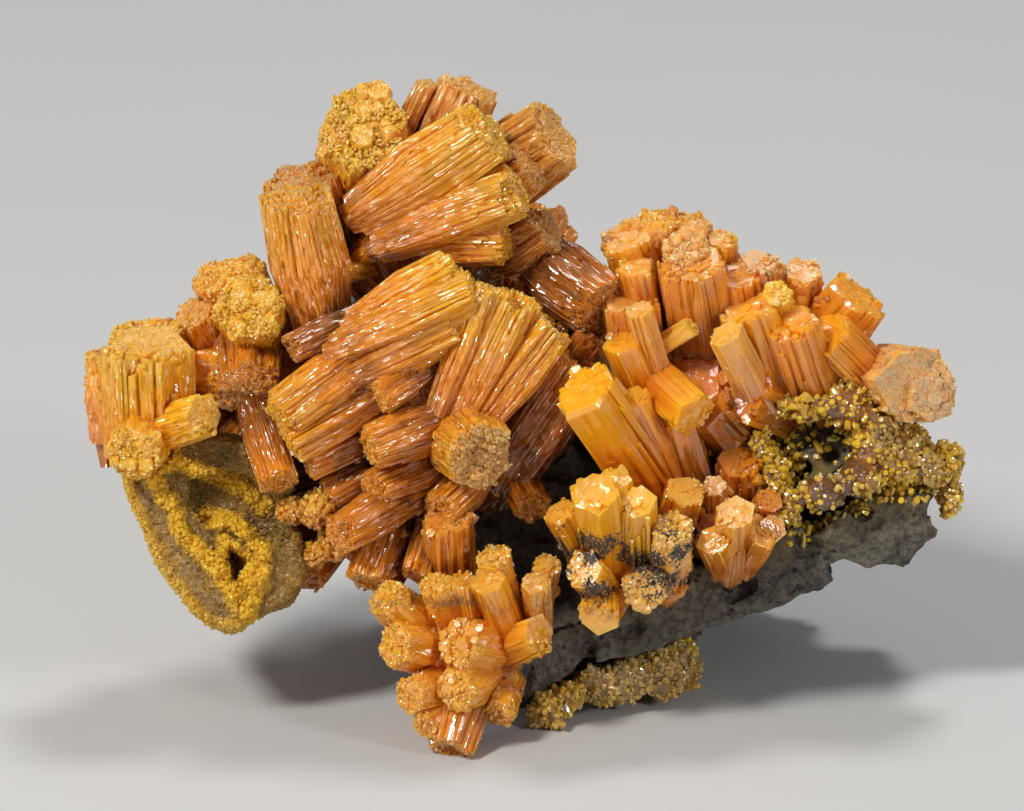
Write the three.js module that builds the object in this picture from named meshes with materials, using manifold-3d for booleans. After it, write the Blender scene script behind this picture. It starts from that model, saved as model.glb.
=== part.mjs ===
// A cabinet specimen of orange mimetite: barrel-shaped hexagonal crystals, most of them bundles of fine
// parallel fibres, grown together in sprays on a broken plate of grey matrix rock.
//
// Every place is given in the specimen's face frame, in millimetres: x to the right, y back into the
// specimen, z up its crystal face, from the lowest front tip. The whole face leans back from upright.
// A crystal runs from its root, hidden in the growth, to the middle of the face that ends it.
import * as THREE from "three";
import { mergeVertices } from "three/addons/utils/BufferGeometryUtils.js";
import { ConvexGeometry } from "three/addons/geometries/ConvexGeometry.js";
import Module from "manifold-3d";

const wasm = await Module();
wasm.setup();

// Driving dimensions.
const LEAN = THREE.MathUtils.degToRad(20);
const JOINT_GAP = 0.3;
const FLOOR_SLAB = 200;
const SIDES = 6;
const TURN_STEP = 0.37;

// Shape of one crystal, as shares of its own radius and length. A bundle of fibres swells like a barrel,
// and a clear prism has flat sides and a bevelled end. Those narrower than plainUnder have neither.
const BUNDLE = { root: 0.8, belly: 0.6, end: 0.88, plainUnder: 2.4 };
const PRISM = { root: 0.94, bevel: 0.1, plainUnder: 2.7 };

const COLOURS = {
  matrix: { color: 0x77706a, roughness: 0.95, metalness: 0 },
  bundle: { color: 0xc8741c, roughness: 0.45, metalness: 0 },
  clear: { color: 0xe8851a, roughness: 0.3, metalness: 0 },
  sugar: { color: 0xa57a38, roughness: 0.7, metalness: 0 },
  druse: { color: 0xd0a02c, roughness: 0.5, metalness: 0 },
};

// The large fibrous bundles in the middle of the face, and the darker ones below and behind them.
const CENTRE_SPRAY = [
  { root: [-15.6, 2.5, 44.4], tip: [-6.9, 1.0, 49.2], wide: 2.9, thick: 3.2 },
  { root: [-17.4, 1.5, 41.7], tip: [-4.8, 0.0, 47.0], wide: 3.1, thick: 3.4 },
  { root: [-16.6, 2.0, 39.0], tip: [-6.6, 1.0, 43.7], wide: 2.7, thick: 3.2 },
  { root: [-7.8, 3.0, 36.2], tip: [-3.2, 1.0, 47.2], wide: 2.6, thick: 3.2 },
  { root: [-5.8, 3.0, 35.0], tip: [-0.2, 1.0, 46.4], wide: 2.8, thick: 3.2 },
  { root: [-3.8, 3.2, 34.6], tip: [3.0, 1.5, 43.6], wide: 2.8, thick: 3.2 },
  { root: [-16.6, 5.0, 44.4], tip: [-23.2, 3.0, 41.2], wide: 1.7, thick: 2.0 },
  { root: [-15.0, 3.5, 41.4], tip: [-24.4, 0.5, 34.2], wide: 3.3, thick: 3.5 },
  { root: [-14.4, 3.5, 36.9], tip: [-23.2, 1.5, 31.7], wide: 2.3, thick: 2.7 },
  { root: [-9.0, 4.0, 40.4], tip: [-15.0, 1.0, 36.4], wide: 2.3, thick: 2.5 },
  { root: [-7.2, 4.5, 34.8], tip: [-15.4, 1.5, 31.4], wide: 2.8, thick: 3.1 },
  { root: [-14.8, 6.5, 33.6], tip: [-22.1, 3.5, 30.0], wide: 2.5, thick: 2.8 },
  { root: [-12.6, 8.0, 29.6], tip: [-19.9, 5.0, 26.4], wide: 1.8, thick: 2.0 },
  { root: [-8.0, 8.0, 30.6], tip: [-14.9, 3.5, 26.9], wide: 2.5, thick: 2.7 },
  { root: [-10.2, 8.0, 27.6], tip: [-18.4, 2.5, 22.9], wide: 2.6, thick: 2.9 },
  { root: [-3.4, 9.0, 30.2], tip: [-8.6, 4.8, 25.0], wide: 2.6, thick: 2.7 },
  { root: [-12.6, 10.0, 26.0], tip: [-15.7, 6.0, 18.2], wide: 2.3, thick: 2.4 },
  { root: [-9.0, 10.0, 26.0], tip: [-10.8, 6.0, 18.9], wide: 1.6, thick: 1.8 },
  { root: [-7.4, 9.0, 33.5], tip: [-4.2, -3.0, 30.6], wide: 4.2, thick: 3.9 },
  { root: [-2.6, 10.0, 27.6], tip: [5.4, 4.5, 40.0], wide: 3.9, thick: 3.8 },
  { root: [2.0, 9.0, 37.0], tip: [6.6, 5.5, 42.6], wide: 1.7, thick: 1.7 },
  { root: [-1.0, 11.0, 29.0], tip: [0.8, 6.0, 25.4], wide: 2.0, thick: 2.2 },
  { root: [-10.0, 18.0, 36.0], tip: [-11.0, 4.0, 40.5], wide: 7.0, thick: 6.5 },
  { root: [-6.0, 18.0, 28.0], tip: [-10.0, 8.0, 29.0], wide: 6.0, thick: 5.0 },
  { root: [-2.0, 18.0, 38.0], tip: [1.0, 7.0, 42.0], wide: 5.0, thick: 4.4 },
];

// Yellow knobs that join the middle of the face to the crystals at the left.
const JOINING_KNOBS = [
  { at: [-20.4, 5.6, 25.4], size: [1.9, 2.2, 1.9], turn: 0.4 },
  { at: [-23.0, 6.4, 25.2], size: [1.7, 2.0, 1.3], turn: 1.1 },
  { at: [-18.8, 7.4, 22.0], size: [2.0, 2.6, 1.9], turn: 0.2 },
  { at: [-20.6, 8.0, 20.9], size: [1.5, 1.9, 1.4], turn: 0.8 },
  { at: [-16.6, 9.0, 23.0], size: [2.8, 3.0, 3.0], turn: 0.5 },
];

// The large bundles and the blocky crystals that rise above them, and those on the side away from the face.
const UPPER_SPRAY = [
  { root: [-15.4, 6.0, 55.4], tip: [-3.3, 2.5, 63.0], wide: 4.2, thick: 4.2 },
  { root: [-13.2, 5.5, 52.0], tip: [-0.6, 2.0, 56.8], wide: 3.2, thick: 3.5 },
  { root: [-9.9, 6.0, 51.7], tip: [-1.7, 4.0, 51.6], wide: 2.6, thick: 2.8 },
  { root: [-5.6, 9.0, 54.7], tip: [0.8, 6.0, 59.8], wide: 3.4, thick: 3.6 },
  { root: [-3.4, 10.0, 49.4], tip: [2.4, 6.5, 53.3], wide: 3.2, thick: 3.4 },
  { root: [0.6, 10.5, 50.8], tip: [7.8, 5.0, 45.2], wide: 3.9, thick: 3.8 },
  { root: [-20.2, 8.0, 43.4], tip: [-22.6, 3.5, 56.9], wide: 4.3, thick: 3.9 },
  { root: [-20.0, 11.5, 50.0], tip: [-22.3, 7.5, 58.6], wide: 4.3, thick: 3.6 },
  { root: [-16.4, 16.0, 59.2], tip: [-15.9, 5.0, 63.4], wide: 5.2, thick: 5.7 },
  { root: [-15.0, 11.0, 49.6], tip: [-18.4, 5.4, 48.8], wide: 1.4, thick: 1.6 },
  { root: [-17.6, 10.0, 49.6], tip: [-13.8, 4.8, 52.2], wide: 1.3, thick: 1.4 },
  { root: [-13.0, 11.0, 60.6], tip: [-9.8, 8.6, 67.8], wide: 1.2, thick: 1.6 },
  { root: [-9.0, 11.5, 59.0], tip: [-5.5, 8.4, 67.2], wide: 3.5, thick: 2.8 },
  { root: [-3.6, 12.0, 58.2], tip: [3.1, 7.5, 62.6], wide: 4.3, thick: 3.1 },
  { root: [-9.0, 18.0, 50.0], tip: [-12.0, 8.0, 56.0], wide: 7.0, thick: 6.0 },
  { root: [-2.0, 18.0, 47.0], tip: [-1.0, 9.0, 52.0], wide: 5.6, thick: 5.0 },
  { root: [-16.0, 18.0, 48.0], tip: [-18.0, 10.0, 51.0], wide: 5.0, thick: 4.4 },
  { root: [-11.0, 14.0, 50.0], tip: [-13.4, 27.0, 60.0], wide: 4.4, thick: 4.2 },
  { root: [-6.0, 15.0, 50.0], tip: [-4.6, 27.0, 60.6], wide: 4.2, thick: 4.0 },
  { root: [-13.0, 15.0, 46.0], tip: [-20.6, 26.0, 53.4], wide: 4.2, thick: 4.0 },
  { root: [-2.0, 16.0, 47.0], tip: [2.4, 27.0, 53.6], wide: 3.8, thick: 3.6 },
  { root: [-10.0, 16.0, 44.0], tip: [-11.0, 34.0, 50.6], wide: 4.8, thick: 4.4 },
];

// The crystals down the left side, from the sugary pair to the large block.
const LEFT_CLUSTER = [
  { root: [-28.6, 13.0, 44.6], tip: [-31.0, 9.0, 48.6], wide: 2.3, thick: 2.6 },
  { root: [-26.4, 13.0, 42.7], tip: [-27.3, 3.5, 45.5], wide: 4.3, thick: 4.2 },
  { root: [-27.2, 13.0, 44.6], tip: [-28.0, 8.5, 49.2], wide: 2.9, thick: 2.9 },
  { root: [-27.6, 12.0, 43.0], tip: [-27.4, 5.0, 37.0], wide: 4.1, thick: 3.9 },
  { root: [-37.2, 9.0, 30.8], tip: [-37.4, 4.0, 41.4], wide: 4.6, thick: 4.2 },
  { root: [-36.6, 13.0, 34.6], tip: [-37.4, 9.0, 43.4], wide: 4.9, thick: 3.8 },
  { root: [-41.8, 11.0, 32.2], tip: [-42.2, 9.0, 40.6], wide: 1.8, thick: 2.6 },
  { root: [-37.4, 9.0, 34.0], tip: [-38.6, 1.5, 30.8], wide: 3.4, thick: 3.2 },
  { root: [-37.0, 7.0, 33.0], tip: [-31.7, 1.5, 34.7], wide: 2.4, thick: 2.5 },
  { root: [-34.4, 12.0, 38.6], tip: [-29.0, 7.0, 38.7], wide: 3.3, thick: 3.3 },
  { root: [-31.6, 12.0, 42.0], tip: [-32.8, 9.0, 45.0], wide: 2.2, thick: 2.6 },
  { root: [-27.6, 8.0, 37.4], tip: [-24.2, 3.0, 28.0], wide: 2.2, thick: 2.3 },
  { root: [-22.0, 14.0, 42.0], tip: [-29.0, 21.0, 45.4], wide: 4.2, thick: 4.0 },
  { root: [-26.0, 13.0, 37.0], tip: [-37.0, 18.0, 36.6], wide: 4.0, thick: 3.8 },
  { root: [-24.0, 12.0, 36.0], tip: [-26.6, 23.0, 34.6], wide: 4.2, thick: 4.0 },
  { root: [-20.0, 12.0, 36.0], tip: [-31.0, 10.0, 40.0], wide: 4.2, thick: 3.6 },
];

// The clearer, sharper prisms of the right side.
const RIGHT_SPRAY = [
  { root: [12.6, 8.0, 28.0], tip: [6.0, -1.0, 37.4], wide: 3.7, thick: 3.6 },
  { root: [15.2, 8.0, 27.6], tip: [10.7, 2.0, 36.3], wide: 1.7, thick: 2.0 },
  { root: [16.8, 9.0, 28.8], tip: [13.9, 4.0, 37.0], wide: 2.3, thick: 2.4 },
  { root: [13.6, 6.0, 37.8], tip: [11.4, 1.0, 45.0], wide: 1.5, thick: 1.5 },
  { root: [12.8, 8.0, 35.4], tip: [9.8, 3.0, 42.2], wide: 2.4, thick: 2.5 },
  { root: [12.6, 5.5, 41.0], tip: [16.6, 2.5, 43.4], wide: 1.1, thick: 1.1 },
  { root: [12.4, 7.0, 39.0], tip: [16.7, 1.0, 34.8], wide: 2.6, thick: 2.3 },
  { root: [23.8, 7.0, 35.4], tip: [19.9, 1.0, 42.6], wide: 1.9, thick: 1.8 },
  { root: [25.6, 10.0, 35.8], tip: [22.3, 4.0, 45.4], wide: 3.3, thick: 3.1 },
  { root: [29.3, 9.0, 36.0], tip: [26.4, 3.0, 43.6], wide: 2.9, thick: 2.9 },
  { root: [36.2, 12.0, 36.6], tip: [30.0, 5.0, 42.6], wide: 2.8, thick: 2.8 },
  { root: [29.4, 11.0, 41.4], tip: [33.2, 7.5, 46.4], wide: 3.4, thick: 2.8 },
  { root: [27.2, 12.0, 44.0], tip: [27.6, 8.0, 48.9], wide: 2.2, thick: 2.1 },
  { root: [25.6, 8.0, 43.8], tip: [25.2, 3.0, 46.8], wide: 1.6, thick: 1.6 },
  { root: [12.4, 12.0, 46.0], tip: [10.1, 7.0, 52.4], wide: 2.8, thick: 2.9 },
  { root: [13.8, 13.0, 47.0], tip: [13.0, 8.0, 54.0], wide: 2.9, thick: 2.8 },
  { root: [15.8, 13.0, 47.0], tip: [16.4, 9.0, 53.8], wide: 2.5, thick: 2.6 },
  { root: [16.8, 10.0, 46.2], tip: [16.0, 4.5, 51.6], wide: 3.0, thick: 2.9 },
  { root: [19.4, 12.0, 45.8], tip: [19.8, 8.0, 52.2], wide: 1.7, thick: 1.9 },
  { root: [12.6, 9.0, 43.4], tip: [11.1, 4.5, 49.4], wide: 1.9, thick: 2.1 },
  { root: [17.8, 9.0, 42.0], tip: [16.6, 3.5, 49.6], wide: 3.6, thick: 3.3 },
  { root: [23.4, 11.0, 44.4], tip: [23.6, 6.5, 49.8], wide: 2.2, thick: 2.1 },
  { root: [22.2, 11.0, 41.6], tip: [21.2, 6.0, 48.6], wide: 2.8, thick: 2.8 },
  { root: [11.4, 10.0, 37.4], tip: [10.6, 5.0, 46.0], wide: 3.2, thick: 3.0 },
  { root: [22.6, 12.0, 30.4], tip: [18.2, 5.0, 35.2], wide: 2.8, thick: 2.5 },
  { root: [17.0, 14.0, 34.0], tip: [16.0, 6.0, 38.0], wide: 5.0, thick: 4.4 },
  { root: [26.0, 14.0, 36.0], tip: [21.0, 6.0, 38.0], wide: 5.0, thick: 4.4 },
  { root: [24.0, 14.0, 40.0], tip: [23.6, 9.0, 44.6], wide: 4.4, thick: 3.4 },
  { root: [16.0, 14.0, 40.0], tip: [13.8, 25.0, 49.0], wide: 4.0, thick: 3.8 },
  { root: [21.0, 14.0, 38.0], tip: [22.4, 25.0, 45.4], wide: 3.8, thick: 3.6 },
  { root: [27.0, 14.0, 36.0], tip: [31.4, 23.0, 41.6], wide: 3.4, thick: 3.2 },
  { root: [11.0, 16.0, 38.0], tip: [7.4, 27.0, 47.2], wide: 3.6, thick: 3.6 },
];

// The broad plate-like crystal at the far right, seen nearly end on.
const PLATE_CRYSTAL = [
  { root: [36.8, 14.0, 38.0], tip: [38.6, 4.0, 37.8], wide: 4.3, thick: 4.5 },
  { root: [38.0, 13.0, 36.4], tip: [40.6, 3.6, 36.4], wide: 2.6, thick: 2.8 },
];

// The group of short crystals at the front, dusted with black.
const SPOTTED_GROUP = [
  { root: [8.2, 8.0, 18.0], tip: [6.9, -3.0, 27.2], wide: 2.7, thick: 2.8 },
  { root: [9.6, 8.0, 20.2], tip: [8.6, 0.0, 28.3], wide: 2.0, thick: 2.1 },
  { root: [11.4, 8.0, 18.0], tip: [11.0, -1.5, 26.0], wide: 2.2, thick: 2.2 },
  { root: [14.2, 8.0, 17.4], tip: [14.7, -0.5, 23.8], wide: 2.6, thick: 2.6 },
  { root: [6.4, 7.0, 19.4], tip: [3.4, 1.5, 25.0], wide: 1.7, thick: 1.7 },
  { root: [9.0, 8.0, 16.4], tip: [5.9, 0.3, 19.4], wide: 2.2, thick: 2.3 },
  { root: [8.0, 7.0, 19.4], tip: [7.4, 2.0, 14.8], wide: 2.1, thick: 2.0 },
  { root: [13.0, 9.0, 20.4], tip: [11.8, 1.6, 17.2], wide: 2.8, thick: 2.6 },
];

// The small hexagonal crystals between the spotted group and the druse.
const SMALL_PRISMS = [
  { root: [20.6, 9.0, 19.4], tip: [20.8, 0.5, 25.0], wide: 2.2, thick: 2.2 },
  { root: [20.0, 9.0, 19.8], tip: [18.8, 1.5, 22.2], wide: 1.8, thick: 1.8 },
  { root: [22.2, 9.0, 19.8], tip: [23.4, 2.0, 22.6], wide: 1.5, thick: 1.5 },
  { root: [14.8, 9.0, 23.6], tip: [16.0, 2.0, 27.2], wide: 2.1, thick: 1.9 },
  { root: [22.0, 13.0, 24.0], tip: [21.4, 6.0, 30.0], wide: 2.4, thick: 2.4 },
  { root: [22.4, 12.0, 23.8], tip: [24.4, 5.0, 26.2], wide: 1.4, thick: 1.4 },
  { root: [22.2, 11.0, 22.0], tip: [24.6, 4.0, 23.4], wide: 1.5, thick: 1.5 },
  { root: [18.9, 11.0, 24.8], tip: [18.8, 3.0, 27.6], wide: 1.3, thick: 1.3 },
  { root: [20.0, 14.0, 21.0], tip: [20.0, 6.0, 23.0], wide: 3.4, thick: 3.0 },
];

// The rough cluster at the lower left, whose lowest crystal touches the ground.
const LOWER_CLUSTER = [
  { root: [-1.0, 7.0, 13.6], tip: [-3.2, 1.5, 21.0], wide: 2.0, thick: 1.9 },
  { root: [-1.0, 6.0, 12.4], tip: [-3.5, 0.0, 18.4], wide: 2.0, thick: 1.9 },
  { root: [1.6, 7.0, 13.2], tip: [1.3, 1.0, 18.2], wide: 1.6, thick: 1.6 },
  { root: [1.4, 9.0, 15.4], tip: [2.2, 3.5, 19.8], wide: 1.6, thick: 1.5 },
  { root: [-9.0, 8.0, 12.6], tip: [-13.7, 3.0, 16.8], wide: 2.6, thick: 2.6 },
  { root: [-7.0, 7.0, 12.8], tip: [-8.8, 2.0, 18.2], wide: 1.9, thick: 2.0 },
  { root: [-5.0, 7.0, 12.8], tip: [-6.1, 2.0, 18.4], wide: 1.5, thick: 1.5 },
  { root: [-7.6, 7.0, 11.0], tip: [-12.9, 1.5, 12.0], wide: 2.8, thick: 2.7 },
  { root: [-2.0, 8.0, 11.2], tip: [-6.4, 0.5, 12.2], wide: 3.2, thick: 3.0 },
  { root: [-6.4, 7.0, 8.0], tip: [-11.4, 1.5, 6.9], wide: 2.4, thick: 2.4 },
  { root: [-3.4, 7.0, 9.4], tip: [-6.8, 0.5, 7.4], wide: 2.7, thick: 2.6 },
  { root: [-5.2, 7.0, 9.0], tip: [-7.3, 2.0, 1.3], wide: 2.9, thick: 2.7 },
  { root: [-6.6, 6.0, 6.4], tip: [-10.0, 1.8, 4.0], wide: 1.5, thick: 1.5 },
  { root: [-1.6, 8.0, 8.8], tip: [-2.6, 3.4, 5.0], wide: 1.8, thick: 1.7 },
  { root: [-3.0, 8.0, 11.0], tip: [1.6, 1.6, 13.0], wide: 2.2, thick: 2.0 },
  { root: [-5.0, 12.0, 12.0], tip: [-9.0, 5.0, 13.0], wide: 4.6, thick: 4.0 },
  { root: [-7.2, 12.0, 14.4], tip: [-7.7, 4.5, 24.4], wide: 2.6, thick: 2.7 },
];

// The crystals that hang under the broken edge of the plate.
const UNDER_CLUSTER = [
  { root: [4.4, 15.0, 9.4], tip: [1.9, 8.4, 4.4], wide: 2.1, thick: 2.0 },
  { root: [5.6, 15.0, 9.4], tip: [3.8, 9.0, 6.0], wide: 1.6, thick: 1.6 },
  { root: [8.4, 17.0, 11.0], tip: [7.2, 10.4, 7.4], wide: 2.3, thick: 2.2 },
  { root: [10.6, 18.0, 11.2], tip: [10.2, 11.4, 8.0], wide: 2.7, thick: 2.8 },
  { root: [13.4, 19.0, 11.4], tip: [13.2, 13.0, 8.6], wide: 2.9, thick: 3.0 },
  { root: [15.2, 20.0, 11.0], tip: [15.4, 15.4, 8.8], wide: 2.2, thick: 2.6 },
];

// Corners of the angular pieces that the broken plate is made of: the visible edge from the lower left
// up to the right, the mass behind the crystals, and the foot that the specimen stands on.
const ROCK_PIECES = [
  [[-4.6, 9, 7.4], [-1.6, 9, 10.8], [7.6, 9, 15.6], [9.0, 9, 12.0], [4.6, 10, 8.2], [-2.6, 10, 5.8],
    [-4.6, 30, 12.4], [-1.6, 34, 18.0], [9.6, 34, 21.0], [9.0, 34, 10.0], [-4.0, 30, 8.0]],
  [[6.4, 8, 15.0], [17.6, 8, 20.2], [18.8, 9, 16.6], [17.6, 9, 13.0], [11.6, 9, 11.2], [7.0, 9, 9.4],
    [6.4, 38, 17.0], [17.6, 38, 24.0], [18.8, 38, 16.0], [7.0, 36, 10.0]],
  [[16.4, 8, 19.8], [27.6, 8, 23.8], [30.4, 9, 20.6], [31.2, 9, 17.8], [26.0, 10, 16.2], [22.0, 10, 14.2],
    [17.0, 9, 13.0], [17.0, 38, 22.0], [27.6, 36, 26.0], [31.0, 36, 19.0], [22.0, 38, 15.0]],
  [[29.0, 8, 23.0], [35.6, 8, 27.4], [41.2, 8.6, 27.0], [41.4, 9, 22.4], [38.0, 10, 18.9], [34.4, 10, 18.8],
    [30.2, 10, 20.4], [30.0, 30, 24.6], [36.0, 30, 28.4], [40.0, 28, 25.6], [37.6, 30, 20.0]],
  [[-13.4, 20, 27.0], [-9.0, 18, 39.0], [10.0, 19, 37.0], [30.0, 19, 32.0], [34.0, 19, 25.0], [20.0, 19, 17.0],
    [-6.0, 20, 13.0], [-12.6, 36, 27.0], [-7.0, 34, 37.6], [10.0, 38, 36.0], [27.0, 36, 31.6],
    [32.0, 36, 24.0], [20.0, 42, 17.0], [-8.0, 42, 18.0]],
  [[24.0, 9, 24.6], [30.6, 8, 28.4], [33.6, 10, 31.6], [31.0, 12, 35.4], [25.6, 12, 35.0], [23.0, 12, 30.4],
    [24.0, 24, 28.0], [33.0, 24, 33.0], [28.0, 24, 35.0]],
  [[-7.0, 12, 2.0], [12.6, 20, 4.0], [-11.0, 30, 8.0], [-9.6, 43, 12.0], [20.0, 44, 12.0], [17.0, 26, 6.0],
    [-7.0, 12, 9.4], [12.6, 20, 12.0], [-11.0, 30, 17.0], [-9.6, 43, 19.0], [20.0, 44, 19.0]],
];

// Hollows weathered out of the plate: place, and half sizes across, into and up it.
const ROCK_PITS = [
  { at: [21.4, 8.6, 17.4], size: [1.9, 1.8, 1.1], turn: -0.5 },
  { at: [28.4, 8.0, 21.6], size: [2.1, 2.4, 1.5], turn: 0.3 },
  { at: [33.0, 8.6, 25.6], size: [1.8, 2.2, 1.2], turn: 0.8 },
  { at: [37.6, 8.0, 24.4], size: [1.9, 1.2, 0.8], turn: -0.4 },
  { at: [27.4, 9.6, 28.6], size: [1.5, 3.2, 2.1], turn: 0.5 },
  { at: [30.8, 9.4, 30.6], size: [1.4, 2.8, 1.2], turn: -0.6 },
  { at: [11.0, 40.0, 27.6], size: [4.6, 3.6, 3.0], turn: 0.4 },
  { at: [-1.0, 39.4, 25.0], size: [3.2, 3.2, 2.6], turn: -0.3 },
  { at: [23.0, 38.6, 24.6], size: [3.0, 3.2, 2.2], turn: 0.7 },
  { at: [4.0, 37.0, 34.0], size: [3.4, 3.0, 2.2], turn: 0.1 },
];

// Lumps of the yellow crust of tiny crystals on the right end of the plate, with their half sizes.
const DRUSE_LUMPS = [
  { at: [22.6, 8.6, 33.6], size: [2.6, 2.8, 3.6] },
  { at: [24.8, 7.4, 36.4], size: [2.6, 2.8, 2.4], turn: 0.6 },
  { at: [28.4, 7.0, 36.2], size: [3.0, 3.0, 2.6], turn: 0.2 },
  { at: [32.0, 7.2, 35.8], size: [3.0, 3.0, 2.8], turn: 0.9 },
  { at: [35.2, 8.0, 34.6], size: [2.9, 3.0, 2.8], turn: 0.4 },
  { at: [34.4, 8.6, 31.6], size: [2.8, 3.2, 2.4], turn: 0.7 },
  { at: [25.6, 7.2, 25.6], size: [2.4, 2.6, 2.2], turn: 0.3 },
  { at: [24.6, 7.6, 28.6], size: [2.1, 2.6, 2.6], turn: 0.8 },
  { at: [29.6, 7.0, 26.9], size: [3.0, 2.6, 2.1], turn: 0.1 },
  { at: [33.4, 7.6, 28.6], size: [3.0, 3.0, 2.2], turn: 0.5 },
  { at: [23.4, 8.0, 31.0], size: [2.0, 2.4, 1.9], turn: 0.6 },
  { at: [37.0, 9.0, 29.8], size: [3.2, 3.6, 2.4], turn: 0.9 },
  { at: [38.4, 9.6, 32.2], size: [2.4, 2.8, 1.8], turn: 0.2 },
  { at: [40.6, 10.0, 29.4], size: [2.8, 3.4, 2.2], turn: 0.6 },
  { at: [42.0, 11.0, 26.4], size: [2.0, 3.0, 2.2], turn: 0.4 },
  { at: [42.0, 10.6, 30.2], size: [2.0, 2.6, 1.8], turn: 0.8 },
  { at: [33.0, 15.0, 32.4], size: [5.0, 6.4, 4.0], turn: 0.3 },
];

// Outline of the hollow, sugar-coated crystal at the left, its hole and the sunken part of its face.
const HOPPER = {
  front: 6.0,
  back: 17.0,
  bevel: 0.9,
  outline: [
    [-39.8, 29.4], [-38.8, 26.0], [-38.0, 24.0], [-37.2, 21.8], [-35.8, 19.0], [-34.4, 17.4], [-32.6, 14.9],
    [-31.2, 13.8], [-28.6, 13.2], [-27.2, 14.4], [-25.2, 15.2], [-23.4, 15.9], [-22.0, 18.4], [-21.6, 20.2],
    [-22.0, 22.4], [-23.6, 24.6], [-22.6, 28.0], [-25.6, 31.6], [-31.0, 33.0], [-36.0, 32.0],
  ],
  hole: [
    [-29.7, 22.3], [-28.6, 21.3], [-27.3, 20.6], [-27.4, 19.6], [-27.7, 18.2], [-28.3, 17.4], [-29.0, 18.4],
    [-29.8, 20.0],
  ],
  sunk: [
    [-33.6, 28.6], [-33.0, 25.8], [-32.0, 23.6], [-30.6, 23.4], [-30.4, 24.6], [-28.0, 23.6], [-26.8, 22.0],
    [-23.0, 21.6], [-23.4, 23.6], [-24.6, 26.4], [-27.0, 28.6], [-30.0, 29.6],
  ],
  sunkDepth: 2.4,
};

// A closed three.js geometry as a solid: its corners are merged and its collapsed triangles dropped.
function solidOf(geometry) {
  const bare = geometry.clone();
  bare.deleteAttribute("normal");
  bare.deleteAttribute("uv");
  const merged = mergeVertices(bare, 1e-4);
  const index = merged.index.array;
  const kept = [];
  for (let i = 0; i < index.length; i += 3) {
    const [a, b, c] = [index[i], index[i + 1], index[i + 2]];
    if (a !== b && b !== c && c !== a) kept.push(a, b, c);
  }
  const mesh = new wasm.Mesh({
    numProp: 3,
    vertProperties: merged.attributes.position.array,
    triVerts: new Uint32Array(kept),
  });
  return new wasm.Manifold(mesh);
}

const joined = (solids) => solids.reduce((whole, solid) => whole.add(solid));

// One six-sided crystal: turn spins it about its own length, and grow makes it larger all round.
function crystal({ root, tip, wide, thick, shape, turn }, grow) {
  const from = new THREE.Vector3(...root);
  const axis = new THREE.Vector3(...tip).sub(from);
  const length = axis.length();
  const profile = [[0, -grow], [shape.root, -grow]];
  if (wide < shape.plainUnder) {
    profile.push([1, length + grow]);
  } else if (shape.belly) {
    profile.push([1, shape.belly * length], [shape.end, length + grow]);
  } else {
    profile.push([1, length - shape.bevel * wide], [1 - shape.bevel, length + grow]);
  }
  profile.push([0, length + grow]);
  const along = axis.normalize();
  const across = new THREE.Vector3(along.z, 0, -along.x);
  if (across.lengthSq() < 0.01) across.set(1, 0, 0);
  across.normalize();
  const inward = new THREE.Vector3().crossVectors(across, along);
  const place = new THREE.Matrix4()
    .makeBasis(across, along, inward)
    .scale(new THREE.Vector3(wide + grow, 1, thick + grow))
    .setPosition(from);
  const points = profile.map(([r, h]) => new THREE.Vector2(r, h));
  return solidOf(new THREE.LatheGeometry(points, SIDES, turn).applyMatrix4(place));
}

// A rounded lump with flat facets.
function lump({ at, size, turn = 0 }, grow = 0) {
  const shape = new THREE.IcosahedronGeometry(1);
  shape.scale(...size.map((half) => half + grow));
  shape.rotateY(turn);
  shape.translate(...at);
  return solidOf(shape);
}

// A flat outline in the face plane, given thickness into the specimen from the depth front to back.
function slab(outline, front, back, hole, bevel = 0) {
  const shape = new THREE.Shape(outline.map(([x, z]) => new THREE.Vector2(x, z)));
  if (hole) shape.holes.push(new THREE.Path(hole.map(([x, z]) => new THREE.Vector2(x, z))));
  const block = new THREE.ExtrudeGeometry(shape, {
    depth: back - front - 2 * bevel,
    bevelEnabled: bevel > 0,
    bevelThickness: bevel,
    bevelSize: bevel / 2,
    bevelOffset: -bevel / 2,
    bevelSegments: 1,
  });
  // The extrusion runs along its own +z, which becomes the depth into the specimen.
  block.rotateX(Math.PI / 2).scale(1, -1, 1).translate(0, front + bevel, 0);
  return block;
}

// A mirrored geometry's faces turned round again, so that they point out.
function turnedOut(geometry) {
  const flat = geometry.index ? geometry.toNonIndexed() : geometry;
  const p = flat.attributes.position;
  const corner = new THREE.Vector3();
  const other = new THREE.Vector3();
  for (let i = 0; i < p.count; i += 3) {
    corner.fromBufferAttribute(p, i + 1);
    other.fromBufferAttribute(p, i + 2);
    p.setXYZ(i + 1, ...other);
    p.setXYZ(i + 2, ...corner);
  }
  return flat;
}

function hopper(grow = 0) {
  const body = slab(HOPPER.outline, HOPPER.front - grow, HOPPER.back + grow, HOPPER.hole, HOPPER.bevel);
  const sunk = slab(HOPPER.sunk, HOPPER.front - 5, HOPPER.front + HOPPER.sunkDepth);
  return solidOf(turnedOut(body)).subtract(solidOf(turnedOut(sunk)));
}

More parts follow.
